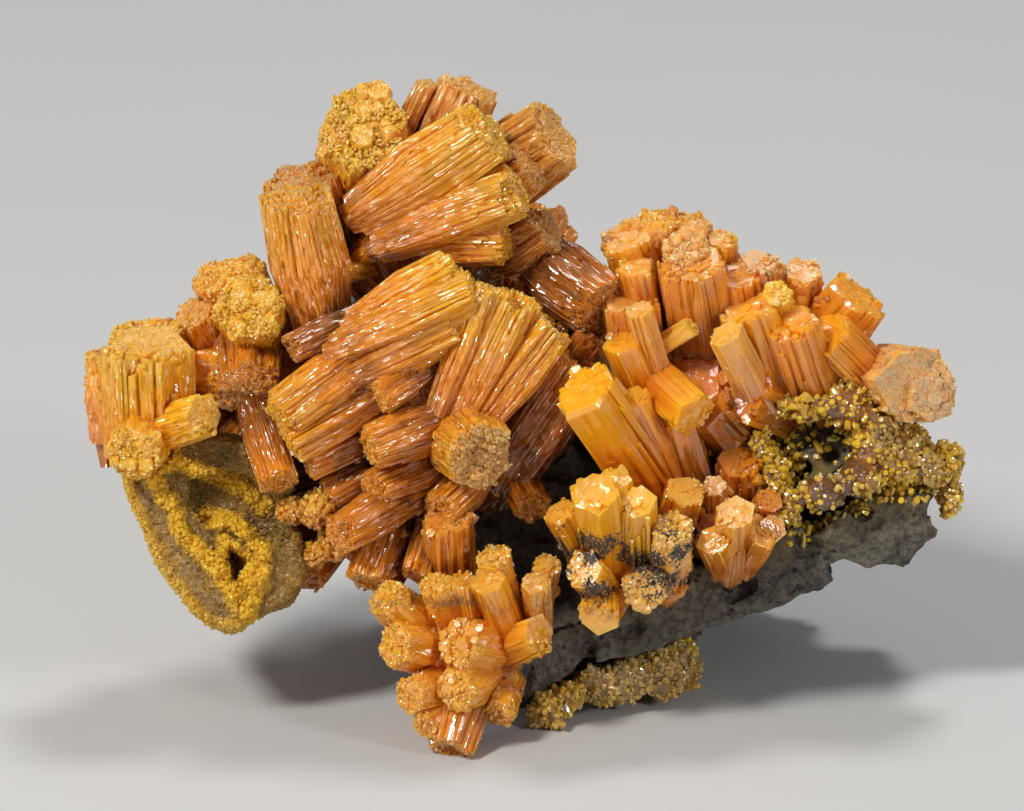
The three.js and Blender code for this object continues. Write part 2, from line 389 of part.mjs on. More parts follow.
// An angular piece between corners. It grows by moving each corner out until its faces have all moved.
function chunk(corners, grow) {
  const points = corners.map((c) => new THREE.Vector3(...c));
  const hull = new ConvexGeometry(points);
  if (!grow) return solidOf(hull);
  const { position, normal } = hull.attributes;
  const moved = points.map((point) => {
    const normals = [];
    for (let i = 0; i < position.count; i++) {
      if (new THREE.Vector3().fromBufferAttribute(position, i).distanceTo(point) < 1e-3) {
        normals.push(new THREE.Vector3().fromBufferAttribute(normal, i));
      }
    }
    if (!normals.length) return point;
    const out = normals.reduce((sum, n) => sum.add(n), new THREE.Vector3()).normalize();
    const least = Math.min(...normals.map((n) => n.dot(out)));
    return point.clone().addScaledVector(out, grow / Math.max(least, 0.3));
  });
  return solidOf(new ConvexGeometry(moved));
}

// The plate with its hollows. Grown, it is left without them, so that nothing fills them.
function rock(grow) {
  const plate = joined(ROCK_PIECES.map((corners) => chunk(corners, grow)));
  return grow ? plate : plate.subtract(joined(ROCK_PITS.map((pit) => lump(pit))));
}

// Everything below the ground, in the leaning frame.
function ground() {
  const slabBelow = new THREE.BoxGeometry(FLOOR_SLAB, FLOOR_SLAB, FLOOR_SLAB);
  slabBelow.translate(0, 0, -FLOOR_SLAB / 2);
  slabBelow.rotateX(LEAN);
  return solidOf(slabBelow);
}

// A cluster of crystals of one shape, with any knobs that grew among them.
const cluster = (crystals, shape, knobs = []) => (grow) =>
  joined([
    ...crystals.map((c, i) => crystal({ ...c, shape, turn: i * TURN_STEP }, grow)),
    ...knobs.map((k) => lump(k, grow)),
  ]);

// The pieces in the order they are fitted together: each keeps clear of those before it in the list.
const PIECES = [
  { name: "matrix_rock", look: COLOURS.matrix, make: rock },
  { name: "centre_spray", look: COLOURS.bundle, make: cluster(CENTRE_SPRAY, BUNDLE, JOINING_KNOBS) },
  { name: "upper_spray", look: COLOURS.bundle, make: cluster(UPPER_SPRAY, BUNDLE) },
  { name: "left_cluster", look: COLOURS.bundle, make: cluster(LEFT_CLUSTER, BUNDLE) },
  { name: "hopper_crystal", look: COLOURS.sugar, make: hopper },
  { name: "right_spray", look: COLOURS.clear, make: cluster(RIGHT_SPRAY, PRISM) },
  { name: "plate_crystal", look: COLOURS.sugar, make: cluster(PLATE_CRYSTAL, PRISM) },
  { name: "spotted_group", look: COLOURS.clear, make: cluster(SPOTTED_GROUP, PRISM) },
  { name: "small_prisms", look: COLOURS.clear, make: cluster(SMALL_PRISMS, PRISM) },
  { name: "lower_cluster", look: COLOURS.clear, make: cluster(LOWER_CLUSTER, PRISM) },
  { name: "under_cluster", look: COLOURS.druse, make: cluster(UNDER_CLUSTER, PRISM) },
  { name: "yellow_druse", look: COLOURS.druse, make: cluster([], PRISM, DRUSE_LUMPS) },
];

function meshOf(name, solid, look) {
  const { numProp, numVert, vertProperties, triVerts } = solid.getMesh();
  const places = new Float32Array(numVert * 3);
  for (let i = 0; i < numVert; i++) places.set(vertProperties.subarray(i * numProp, i * numProp + 3), i * 3);
  const geometry = new THREE.BufferGeometry()
    .setAttribute("position", new THREE.BufferAttribute(places, 3))
    .setIndex(new THREE.BufferAttribute(triVerts, 1));
  geometry.computeBoundingBox();
  const middle = geometry.boundingBox.getCenter(new THREE.Vector3());
  geometry.translate(-middle.x, -middle.y, -middle.z);
  const mesh = new THREE.Mesh(geometry, new THREE.MeshStandardMaterial({ ...look, flatShading: true }));
  mesh.name = name;
  mesh.position.copy(middle);
  return mesh;
}

const face = new THREE.Group();
face.rotation.x = -LEAN;
let taken = ground();
for (const { name, look, make } of PIECES) {
  const whole = make(0).subtract(taken);
  const [largest] = whole.decompose().sort((a, b) => b.volume() - a.volume());
  face.add(meshOf(name, largest, look));
  taken = taken.add(make(JOINT_GAP));
}

// The origin is on the ground, under the middle of the specimen's box.
const specimen = new THREE.Group();
specimen.add(face);
const box = new THREE.Box3().setFromObject(specimen, true);
const middle = box.getCenter(new THREE.Vector3());
face.position.set(-middle.x, -middle.y, -box.min.z);

export default specimen;
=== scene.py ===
"""A cabinet specimen of orange mimetite: barrel-shaped crystals, many of them bundles of fine fibres,
in sprays on a broken plate of grey rock. Every crystal is made of six-sided rods that are grown
together into one closed surface."""

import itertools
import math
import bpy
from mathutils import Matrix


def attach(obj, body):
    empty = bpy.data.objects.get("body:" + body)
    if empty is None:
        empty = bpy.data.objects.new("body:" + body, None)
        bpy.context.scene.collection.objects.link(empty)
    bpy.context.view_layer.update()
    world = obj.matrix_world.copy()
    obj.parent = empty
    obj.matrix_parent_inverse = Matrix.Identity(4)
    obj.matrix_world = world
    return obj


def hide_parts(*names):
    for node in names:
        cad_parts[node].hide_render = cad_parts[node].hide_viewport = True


bl_info = {
    "name": "Orange Crystal Specimen",
    "version": (1, 0, 0),
    "blender": (4, 5, 0),
    "location": "3D View > Sidebar > Specimen",
    "description": "Builds fibrous and clear crystals, sugary crusts and pitted rock over the model's solids",
    "category": "Object",
}

import bpy
import numpy as np
from mathutils import Vector

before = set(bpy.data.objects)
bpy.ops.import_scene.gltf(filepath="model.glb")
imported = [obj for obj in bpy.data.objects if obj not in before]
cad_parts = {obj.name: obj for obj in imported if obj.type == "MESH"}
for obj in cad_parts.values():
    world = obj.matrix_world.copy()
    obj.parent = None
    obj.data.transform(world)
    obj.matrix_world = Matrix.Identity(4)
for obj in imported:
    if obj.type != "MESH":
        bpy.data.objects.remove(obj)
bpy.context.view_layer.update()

# The face of the specimen leans back by this much. Crystal places are in millimetres in the leaning
# face: x to the right, y back into the specimen, z up the face.
LEAN = math.radians(20)
FACE_AT = (-0.0744, -25.1328, 0.0)

# A bundle swells like a barrel from its root, and a clear prism has flat sides and a bevelled end.
BUNDLE_ROOT = 0.8
BUNDLE_BELLY = 0.6
BUNDLE_END = 0.88
BUNDLE_PLAIN_UNDER = 2.4
PRISM_ROOT = 0.94
PRISM_BEVEL = 0.1
PRISM_PLAIN_UNDER = 2.7
TURN_STEP = 0.37
SIDES = 6

# Each crystal: root, tip, half width, half thickness, tone from 0 (yellow) to 1 (dark red-brown),
# share of its end that is sugary, and how frosted it is; on a few crystals the pale frosting is painted
# sheen.
# The large fibrous bundles in the middle of the face, and the darker ones below and behind them.
CENTRE_SPRAY = (
    ((-15.6, 2.5, 44.4), (-6.9, 1.0, 49.2), 2.9, 3.2, 0.3, 0.2, 0),
    ((-17.4, 1.5, 41.7), (-4.8, 0.0, 47.0), 3.1, 3.4, 0.34, 0.2, 0),
    ((-16.6, 2.0, 39.0), (-6.6, 1.0, 43.7), 2.7, 3.2, 0.42, 0.2, 0),
    ((-7.8, 3.0, 36.2), (-3.2, 1.0, 47.2), 2.6, 3.2, 0.34, 0.3, 0.05),
    ((-5.8, 3.0, 35.0), (-0.2, 1.0, 46.4), 2.8, 3.2, 0.36, 0.3, 0.05),
    ((-3.8, 3.2, 34.6), (3.0, 1.5, 43.6), 2.8, 3.2, 0.36, 0.8, 0.05),
    ((-16.6, 5.0, 44.4), (-23.2, 3.0, 41.2), 1.7, 2.0, 0.8, 0.1, 0.1),
    ((-15.0, 3.5, 41.4), (-24.4, 0.5, 34.2), 3.3, 3.5, 0.46, 0.2, 0),
    ((-14.4, 3.5, 36.9), (-23.2, 1.5, 31.7), 2.3, 2.7, 0.52, 0.2, 0),
    ((-9.0, 4.0, 40.4), (-15.0, 1.0, 36.4), 2.3, 2.5, 0.58, 0.2, 0),
    ((-7.2, 4.5, 34.8), (-15.4, 1.5, 31.4), 2.8, 3.1, 0.6, 0.3, 0),
    ((-14.8, 6.5, 33.6), (-22.1, 3.5, 30.0), 2.5, 2.8, 0.68, 0.2, 0),
    ((-12.6, 8.0, 29.6), (-19.9, 5.0, 26.4), 1.8, 2.0, 0.74, 0.2, 0),
    ((-8.0, 8.0, 30.6), (-14.9, 3.5, 26.9), 2.5, 2.7, 0.68, 0.3, 0),
    ((-10.2, 8.0, 27.6), (-18.4, 2.5, 22.9), 2.6, 2.9, 0.66, 0.3, 0),
    ((-3.4, 9.0, 30.2), (-8.6, 4.8, 25.0), 2.6, 2.7, 0.62, 0.4, 0),
    ((-12.6, 10.0, 26.0), (-15.7, 6.0, 18.2), 2.3, 2.4, 0.66, 0.3, 0),
    ((-9.0, 10.0, 26.0), (-10.8, 6.0, 18.9), 1.6, 1.8, 0.7, 0.3, 0),
    ((-7.4, 9.0, 33.5), (-4.2, -3.0, 30.6), 4.2, 3.9, 0.44, 1, 0.1),
    ((-2.6, 10.0, 27.6), (5.4, 4.5, 40.0), 3.9, 3.8, 0.74, 0.2, 0),
    ((2.0, 9.0, 37.0), (6.6, 5.5, 42.6), 1.7, 1.7, 0.84, 0.2, 0),
    ((-1.0, 11.0, 29.0), (0.8, 6.0, 25.4), 2.0, 2.2, 0.62, 0.3, 0),
    ((-10.0, 18.0, 36.0), (-11.0, 4.0, 40.5), 7.0, 6.5, 0.85, 0, 0),
    ((-6.0, 18.0, 28.0), (-10.0, 8.0, 29.0), 6.0, 5.0, 0.9, 0, 0),
    ((-2.0, 18.0, 38.0), (1.0, 7.0, 42.0), 5.0, 4.4, 0.85, 0, 0),
)

# The large bundles and the blocky crystals above them, and those on the side away from the face.
UPPER_SPRAY = (
    ((-15.4, 6.0, 55.4), (-3.3, 2.5, 63.0), 4.2, 4.2, 0.3, 0.5, 0.1),
    ((-13.2, 5.5, 52.0), (-0.6, 2.0, 56.8), 3.2, 3.5, 0.4, 0.5, 0.05),
    ((-9.9, 6.0, 51.7), (-1.7, 4.0, 51.6), 2.6, 2.8, 0.46, 0.4, 0),
    ((-5.6, 9.0, 54.7), (0.8, 6.0, 59.8), 3.4, 3.6, 0.6, 1, 0.15),
    ((-3.4, 10.0, 49.4), (2.4, 6.5, 53.3), 3.2, 3.4, 0.66, 1, 0.15),
    ((0.6, 10.5, 50.8), (7.8, 5.0, 45.2), 3.9, 3.8, 0.76, 0.4, 0),
    ((-20.2, 8.0, 43.4), (-22.6, 3.5, 56.9), 4.3, 3.9, 0.4, 1, 0.05),
    ((-20.0, 11.5, 50.0), (-22.3, 7.5, 58.6), 4.3, 3.6, 0.6, 1, 0.1),
    ((-16.4, 16.0, 59.2), (-15.9, 5.0, 63.4), 5.2, 5.7, 0.26, 0.4, 0.1),
    ((-15.0, 11.0, 49.6), (-18.4, 5.4, 48.8), 1.4, 1.6, 0.4, 0.4, 0),
    ((-17.6, 10.0, 49.6), (-13.8, 4.8, 52.2), 1.3, 1.4, 0.42, 0.4, 0),
    # Painted sheen: the frosting of these three stands for pale shine on their cleaved faces.
    ((-13.0, 11.0, 60.6), (-9.8, 8.6, 67.8), 1.2, 1.6, 0.5, 0, 0.6),
    ((-9.0, 11.5, 59.0), (-5.5, 8.4, 67.2), 3.5, 2.8, 0.5, 0, 0.55),
    ((-3.6, 12.0, 58.2), (3.1, 7.5, 62.6), 4.3, 3.1, 0.5, 0.1, 0.5),
    ((-9.0, 18.0, 50.0), (-12.0, 8.0, 56.0), 7.0, 6.0, 0.7, 0, 0),
    ((-2.0, 18.0, 47.0), (-1.0, 9.0, 52.0), 5.6, 5.0, 0.75, 0, 0),
    ((-16.0, 18.0, 48.0), (-18.0, 10.0, 51.0), 5.0, 4.4, 0.75, 0, 0),
    ((-11.0, 14.0, 50.0), (-13.4, 27.0, 60.0), 4.4, 4.2, 0.5, 0.5, 0),
    ((-6.0, 15.0, 50.0), (-4.6, 27.0, 60.6), 4.2, 4.0, 0.55, 0.5, 0),
    ((-13.0, 15.0, 46.0), (-20.6, 26.0, 53.4), 4.2, 4.0, 0.45, 0.5, 0),
    ((-2.0, 16.0, 47.0), (2.4, 27.0, 53.6), 3.8, 3.6, 0.6, 0.5, 0),
    ((-10.0, 16.0, 44.0), (-11.0, 34.0, 50.6), 4.8, 4.4, 0.5, 0.5, 0),
)

# The crystals down the left side, from the sugary pair to the large block.
LEFT_CLUSTER = (
    ((-28.6, 13.0, 44.6), (-31.0, 9.0, 48.6), 2.3, 2.6, 0.38, 0.6, 0.15),
    ((-26.4, 13.0, 42.7), (-27.3, 3.5, 45.5), 4.3, 4.2, 0.25, 0.3, 0.05),
    ((-27.2, 13.0, 44.6), (-28.0, 8.5, 49.2), 2.9, 2.9, 0.3, 0.5, 0.1),
    ((-27.6, 12.0, 43.0), (-27.4, 5.0, 37.0), 4.1, 3.9, 0.66, 0.6, 0),
    ((-37.2, 9.0, 30.8), (-37.4, 4.0, 41.4), 4.6, 4.2, 0.26, 0.7, 0),
    ((-36.6, 13.0, 34.6), (-37.4, 9.0, 43.4), 4.9, 3.8, 0.34, 0.7, 0),
    ((-41.8, 11.0, 32.2), (-42.2, 9.0, 40.6), 1.8, 2.6, 0.38, 0.8, 0),
    ((-37.4, 9.0, 34.0), (-38.6, 1.5, 30.8), 3.4, 3.2, 0.24, 0.4, 0),
    ((-37.0, 7.0, 33.0), (-31.7, 1.5, 34.7), 2.4, 2.5, 0.26, 0.4, 0),
    ((-34.4, 12.0, 38.6), (-29.0, 7.0, 38.7), 3.3, 3.3, 0.5, 0.6, 0),
    ((-31.6, 12.0, 42.0), (-32.8, 9.0, 45.0), 2.2, 2.6, 0.45, 0.5, 0),
    ((-27.6, 8.0, 37.4), (-24.2, 3.0, 28.0), 2.2, 2.3, 0.66, 0.2, 0),
    ((-22.0, 14.0, 42.0), (-29.0, 21.0, 45.4), 4.2, 4.0, 0.5, 0.5, 0),
    ((-26.0, 13.0, 37.0), (-37.0, 18.0, 36.6), 4.0, 3.8, 0.5, 0.5, 0),
    ((-24.0, 12.0, 36.0), (-26.6, 23.0, 34.6), 4.2, 4.0, 0.55, 0.5, 0),
    ((-20.0, 12.0, 36.0), (-31.0, 10.0, 40.0), 4.2, 3.6, 0.5, 0.3, 0),
)

# The clearer, sharper prisms of the right side.
RIGHT_SPRAY = (
    ((12.6, 8.0, 28.0), (6.0, -1.0, 37.4), 3.7, 3.6, 0.38, 0, 0),
    ((15.2, 8.0, 27.6), (10.7, 2.0, 36.3), 1.7, 2.0, 0.46, 0, 0.1),
    ((16.8, 9.0, 28.8), (13.9, 4.0, 37.0), 2.3, 2.4, 0.56, 0, 0),
    # Painted sheen: this crystal's frosting stands for pale shine on its flat faces.
    ((13.6, 6.0, 37.8), (11.4, 1.0, 45.0), 1.5, 1.5, 0.34, 0.2, 0.35),
    ((12.8, 8.0, 35.4), (9.8, 3.0, 42.2), 2.4, 2.5, 0.44, 0.1, 0),
    ((12.6, 5.5, 41.0), (16.6, 2.5, 43.4), 1.1, 1.1, 0.2, 0, 0.3),
    ((12.4, 7.0, 39.0), (16.7, 1.0, 34.8), 2.6, 2.3, 0.4, 0, 0),
    # Painted sheen: this crystal's frosting stands for pale shine on its flat faces.
    ((23.8, 7.0, 35.4), (19.9, 1.0, 42.6), 1.9, 1.8, 0.34, 0.1, 0.35),
    ((25.6, 10.0, 35.8), (22.3, 4.0, 45.4), 3.3, 3.1, 0.44, 0.1, 0.05),
    ((29.3, 9.0, 36.0), (26.4, 3.0, 43.6), 2.9, 2.9, 0.56, 0.1, 0),
    ((36.2, 12.0, 36.6), (30.0, 5.0, 42.6), 2.8, 2.8, 0.48, 0, 0),
    ((29.4, 11.0, 41.4), (33.2, 7.5, 46.4), 3.4, 2.8, 0.5, 0.1, 0.05),
    ((27.2, 12.0, 44.0), (27.6, 8.0, 48.9), 2.2, 2.1, 0.5, 0.3, 0.2),
    ((25.6, 8.0, 43.8), (25.2, 3.0, 46.8), 1.6, 1.6, 0.06, 0.9, 0.1),
    ((12.4, 12.0, 46.0), (10.1, 7.0, 52.4), 2.8, 2.9, 0.42, 0.7, 0.1),
    ((13.8, 13.0, 47.0), (13.0, 8.0, 54.0), 2.9, 2.8, 0.46, 0.7, 0.1),
    ((15.8, 13.0, 47.0), (16.4, 9.0, 53.8), 2.5, 2.6, 0.44, 0.6, 0.05),
    ((16.8, 10.0, 46.2), (16.0, 4.5, 51.6), 3.0, 2.9, 0.46, 1, 0.55),
    ((19.4, 12.0, 45.8), (19.8, 8.0, 52.2), 1.7, 1.9, 0.4, 0.6, 0.05),
    ((12.6, 9.0, 43.4), (11.1, 4.5, 49.4), 1.9, 2.1, 0.48, 0.4, 0),
    ((17.8, 9.0, 42.0), (16.6, 3.5, 49.6), 3.6, 3.3, 0.56, 0.3, 0.15),
    ((23.4, 11.0, 44.4), (23.6, 6.5, 49.8), 2.2, 2.1, 0.6, 0.5, 0.6),
    ((22.2, 11.0, 41.6), (21.2, 6.0, 48.6), 2.8, 2.8, 0.6, 0.3, 0.1),
    ((11.4, 10.0, 37.4), (10.6, 5.0, 46.0), 3.2, 3.0, 0.6, 0.3, 0.2),
    ((22.6, 12.0, 30.4), (18.2, 5.0, 35.2), 2.8, 2.5, 0.85, 0, 0),
    ((17.0, 14.0, 34.0), (16.0, 6.0, 38.0), 5.0, 4.4, 0.7, 0, 0),
    ((26.0, 14.0, 36.0), (21.0, 6.0, 38.0), 5.0, 4.4, 0.7, 0, 0),
    ((24.0, 14.0, 40.0), (23.6, 9.0, 44.6), 4.4, 3.4, 0.6, 0, 0),
    ((16.0, 14.0, 40.0), (13.8, 25.0, 49.0), 4.0, 3.8, 0.5, 0.3, 0),
    ((21.0, 14.0, 38.0), (22.4, 25.0, 45.4), 3.8, 3.6, 0.5, 0.3, 0),
    ((27.0, 14.0, 36.0), (31.4, 23.0, 41.6), 3.4, 3.2, 0.5, 0.3, 0),
    ((11.0, 16.0, 38.0), (7.4, 27.0, 47.2), 3.6, 3.6, 0.5, 0.3, 0),
)

# The broad plate-like crystal at the far right, seen nearly end on.
PLATE_CRYSTAL = (
    ((36.8, 14.0, 38.0), (38.6, 4.0, 37.8), 4.3, 4.5, 0.46, 1, 0.5),
    ((38.0, 13.0, 36.4), (40.6, 3.6, 36.4), 2.6, 2.8, 0.5, 1, 0.6),
)

# The group of short crystals at the front, dusted with black.
SPOTTED_GROUP = (
    ((8.2, 8.0, 18.0), (6.9, -3.0, 27.2), 2.7, 2.8, 0.28, 0.2, 0),
    ((9.6, 8.0, 20.2), (8.6, 0.0, 28.3), 2.0, 2.1, 0.22, 0.2, 0),
    ((11.4, 8.0, 18.0), (11.0, -1.5, 26.0), 2.2, 2.2, 0.26, 0.2, 0),
    ((14.2, 8.0, 17.4), (14.7, -0.5, 23.8), 2.6, 2.6, 0.3, 0.8, 0.3),
    ((6.4, 7.0, 19.4), (3.4, 1.5, 25.0), 1.7, 1.7, 0.4, 0.3, 0),
    ((9.0, 8.0, 16.4), (5.9, 0.3, 19.4), 2.2, 2.3, 0.34, 0.3, 0),
    ((8.0, 7.0, 19.4), (7.4, 2.0, 14.8), 2.1, 2.0, 0.4, 0.3, 0),
    ((13.0, 9.0, 20.4), (11.8, 1.6, 17.2), 2.8, 2.6, 0.3, 0.9, 0.4),
)

# The small hexagonal crystals between the spotted group and the druse.
SMALL_PRISMS = (
    ((20.6, 9.0, 19.4), (20.8, 0.5, 25.0), 2.2, 2.2, 0.42, 0.3, 0.25),
    ((20.0, 9.0, 19.8), (18.8, 1.5, 22.2), 1.8, 1.8, 0.46, 0.1, 0),
    ((22.2, 9.0, 19.8), (23.4, 2.0, 22.6), 1.5, 1.5, 0.5, 0.1, 0.1),
    ((14.8, 9.0, 23.6), (16.0, 2.0, 27.2), 2.1, 1.9, 0.4, 0.2, 0.1),
    ((22.0, 13.0, 24.0), (21.4, 6.0, 30.0), 2.4, 2.4, 0.78, 0, 0),
    ((22.4, 12.0, 23.8), (24.4, 5.0, 26.2), 1.4, 1.4, 0.66, 0, 0.1),
    ((22.2, 11.0, 22.0), (24.6, 4.0, 23.4), 1.5, 1.5, 0.5, 0, 0.1),
    ((18.9, 11.0, 24.8), (18.8, 3.0, 27.6), 1.3, 1.3, 0.55, 0.3, 0.4),
    ((20.0, 14.0, 21.0), (20.0, 6.0, 23.0), 3.4, 3.0, 0.8, 0, 0),
)

# The rough cluster at the lower left, whose lowest crystal touches the ground.
LOWER_CLUSTER = (
    ((-1.0, 7.0, 13.6), (-3.2, 1.5, 21.0), 2.0, 1.9, 0.36, 0.7, 0.15),
    ((-1.0, 6.0, 12.4), (-3.5, 0.0, 18.4), 2.0, 1.9, 0.4, 0.3, 0.05),
    ((1.6, 7.0, 13.2), (1.3, 1.0, 18.2), 1.6, 1.6, 0.38, 0.1, 0.4),
    ((1.4, 9.0, 15.4), (2.2, 3.5, 19.8), 1.6, 1.5, 0.4, 0.1, 0.3),
    ((-9.0, 8.0, 12.6), (-13.7, 3.0, 16.8), 2.6, 2.6, 0.34, 0.6, 0.05),
    ((-7.0, 7.0, 12.8), (-8.8, 2.0, 18.2), 1.9, 2.0, 0.38, 0.6, 0.1),
    ((-5.0, 7.0, 12.8), (-6.1, 2.0, 18.4), 1.5, 1.5, 0.42, 0.3, 0.1),
    ((-7.6, 7.0, 11.0), (-12.9, 1.5, 12.0), 2.8, 2.7, 0.4, 0.6, 0.1),
    ((-2.0, 8.0, 11.2), (-6.4, 0.5, 12.2), 3.2, 3.0, 0.44, 0.5, 0.1),
    ((-6.4, 7.0, 8.0), (-11.4, 1.5, 6.9), 2.4, 2.4, 0.46, 0.6, 0.1),
    ((-3.4, 7.0, 9.4), (-6.8, 0.5, 7.4), 2.7, 2.6, 0.42, 0.6, 0.15),
    ((-5.2, 7.0, 9.0), (-7.3, 2.0, 1.3), 2.9, 2.7, 0.66, 1, 0.1),
    ((-6.6, 6.0, 6.4), (-10.0, 1.8, 4.0), 1.5, 1.5, 0.5, 0.6, 0.2),
    ((-1.6, 8.0, 8.8), (-2.6, 3.4, 5.0), 1.8, 1.7, 0.4, 0.6, 0.1),
    ((-3.0, 8.0, 11.0), (1.6, 1.6, 13.0), 2.2, 2.0, 0.42, 0.4, 0.1),
    ((-5.0, 12.0, 12.0), (-9.0, 5.0, 13.0), 4.6, 4.0, 0.6, 0.3, 0),
    ((-7.2, 12.0, 14.4), (-7.7, 4.5, 24.4), 2.6, 2.7, 0.62, 0.3, 0.1),
)

# Yellow knobs that join the middle of the face to the crystals at the left: middle and half sizes.
JOINING_KNOBS = (
    ((-20.4, 5.6, 25.4), (1.9, 2.2, 1.9)),
    ((-23.0, 6.4, 25.2), (1.7, 2.0, 1.3)),
    ((-18.8, 7.4, 22.0), (2.0, 2.6, 1.9)),
    ((-20.6, 8.0, 20.9), (1.5, 1.9, 1.4)),
    ((-16.6, 9.0, 23.0), (2.8, 3.0, 3.0)),
)

MIMETITE_IOR = 2.0
# A coat of sugar-fine crystals shines less than one face does.
SUGARY_IOR = 1.5

# What the crystals of each spray are, by number: rough masses, smooth-sided or striated prisms, clear
# prisms, or bundles of fibres. The first word is for all the others.
KINDS = {
    "centre_spray": ("bundle", {}),
    "upper_spray": ("bundle", {"rough": (8,), "smooth": (11, 12, 13)}),
    "left_cluster": ("bundle", {"rough": (0, 1, 2, 5, 6, 7, 9), "smooth": (4, 8, 10)}),
    "right_spray": ("striated", {"rough": (13, 15, 17), "clear": (0, 1, 2, 3, 4, 5, 7)}),
    "spotted_group": ("striated", {"rough": (3, 7), "clear": (0, 1, 2, 5)}),
    "small_prisms": ("striated", {"clear": (0, 1, 2, 6)}),
    "lower_cluster": ("striated", {"rough": (0, 4, 5, 7, 8, 9, 10, 12, 13), "bundle": (11,),
                                   "clear": (1, 2)}),
}

# The narrow columns along each kind of prism: how many times the usual number, and their least and
# greatest width as shares of the prism's.
PRISM_COLUMNS = {"clear": (1, 0.05, 0.26), "striated": (3, 0.05, 0.17), "smooth": (3, 0.04, 0.2)}

# Bundles whose roots lie deeper than this are on the side away from the face.
HIDDEN_FROM = 13

# Crystals behind the gaps between the sprays, seen only through them, toned dark as painted shade.
BEHIND_PAINTED_SHADE = {
    "centre_spray": (
        ((-14.0, 15.0, 30.0), (-24.0, 14.0, 27.6), 3.0, 3.0, 0.9, 0, 0),
        ((-14.0, 15.0, 25.0), (-22.0, 15.0, 23.4), 2.6, 2.6, 0.9, 0, 0),
        ((2.0, 15.0, 42.0), (6.4, 11.0, 45.0), 3.0, 3.0, 0.9, 0, 0),
        ((-18.0, 14.0, 25.0), (-21.6, 10.0, 18.6), 2.4, 2.4, 0.8, 0, 0),
        ((-11.0, 14.0, 25.0), (-15.0, 9.5, 18.0), 2.6, 2.6, 0.8, 0, 0),
        ((-19.0, 15.0, 27.0), (-22.8, 11.5, 22.4), 2.2, 2.2, 0.8, 0, 0),
    ),
    "left_cluster": (
        ((-26.0, 14.0, 36.0), (-29.6, 11.0, 31.4), 2.8, 2.6, 0.8, 0, 0),
    ),
}

# The hollow crystal, across and up the face: its bright ridges, its bright outer edge, and its recess, where
# shade is painted.
HOPPER_RIDGES = (
    ((-37.3, 29.7), (-35.8, 26.9), (-34.5, 25.3), (-34.1, 23.4), (-33.0, 22.0), (-30.9, 19.9), (-28.8, 17.1),
     (-27.4, 15.0)),
    ((-40.2, 29.2), (-37.4, 29.4), (-34.5, 30.0), (-31.6, 29.0), (-28.4, 27.9), (-25.9, 25.6)),
    ((-31.7, 24.9), (-28.4, 23.7), (-26.0, 21.3), (-26.2, 19.2), (-26.9, 16.4)),
)
HOPPER_EDGE = ((-39.8, 29.4), (-38.8, 26.0), (-38.0, 24.0), (-37.2, 21.8), (-35.8, 19.0), (-34.4, 17.4),
               (-32.6, 14.9), (-31.2, 13.8), (-28.6, 13.2), (-27.2, 14.4))
HOPPER_SHADED_RECESS = ((-32.4, 24.6), (-31.0, 27.2), (-28.0, 26.2), (-25.4, 23.8))
HOLE_CRYSTALS = 120
HOPPER_HOLE = ((-29.7, 22.3), (-28.6, 21.3), (-27.3, 20.6), (-27.4, 19.6), (-27.7, 18.2), (-28.3, 17.4),
               (-29.0, 18.4), (-29.8, 20.0))


def in_row(points):
    """Points of the leaning face, in millimetres, as places in the model in metres."""
    p = np.asarray(points, dtype=float)
    x = p[..., 0]
    y = p[..., 1] * math.cos(LEAN) + p[..., 2] * math.sin(LEAN)
    z = p[..., 2] * math.cos(LEAN) - p[..., 1] * math.sin(LEAN)
    return (np.stack((x, y, z), axis=-1) + FACE_AT) / 1000


def in_face(points):
    """Places in the model, in metres, as points of the leaning face in millimetres."""
    p = np.asarray(points, dtype=float) * 1000 - FACE_AT
    y = p[..., 1] * math.cos(LEAN) - p[..., 2] * math.sin(LEAN)
    z = p[..., 2] * math.cos(LEAN) + p[..., 1] * math.sin(LEAN)
    return np.stack((p[..., 0], y, z), axis=-1)


def cell_value(cell, seed):
    """A repeatable value from 0 to 1 for each whole-number cell."""
    mixed = cell[..., 0] * 374761393 + cell[..., 1] * 668265263 + cell[..., 2] * 1440662683
    mixed = (mixed + seed * 1274126177) & 0xFFFFFFFF
    mixed = ((mixed ^ (mixed >> 13)) * 1274126177) & 0xFFFFFFFF
    mixed = mixed ^ (mixed >> 16)
    return (mixed & 0xFFFFFF) / 0xFFFFFF


def soft_noise(points, size, seed):
    """Smooth noise from -1 to 1, with its lumps about size apart."""
    scaled = np.asarray(points, dtype=float) / size
    base = np.floor(scaled).astype(np.int64)
    part = scaled - base
    part = part * part * (3 - 2 * part)
    total = 0
    for corner in itertools.product((0, 1), repeat=3):
        weight = np.prod(np.where(corner, part, 1 - part), axis=-1)
        total = total + weight * cell_value(base + corner, seed)
    return 2 * total - 1


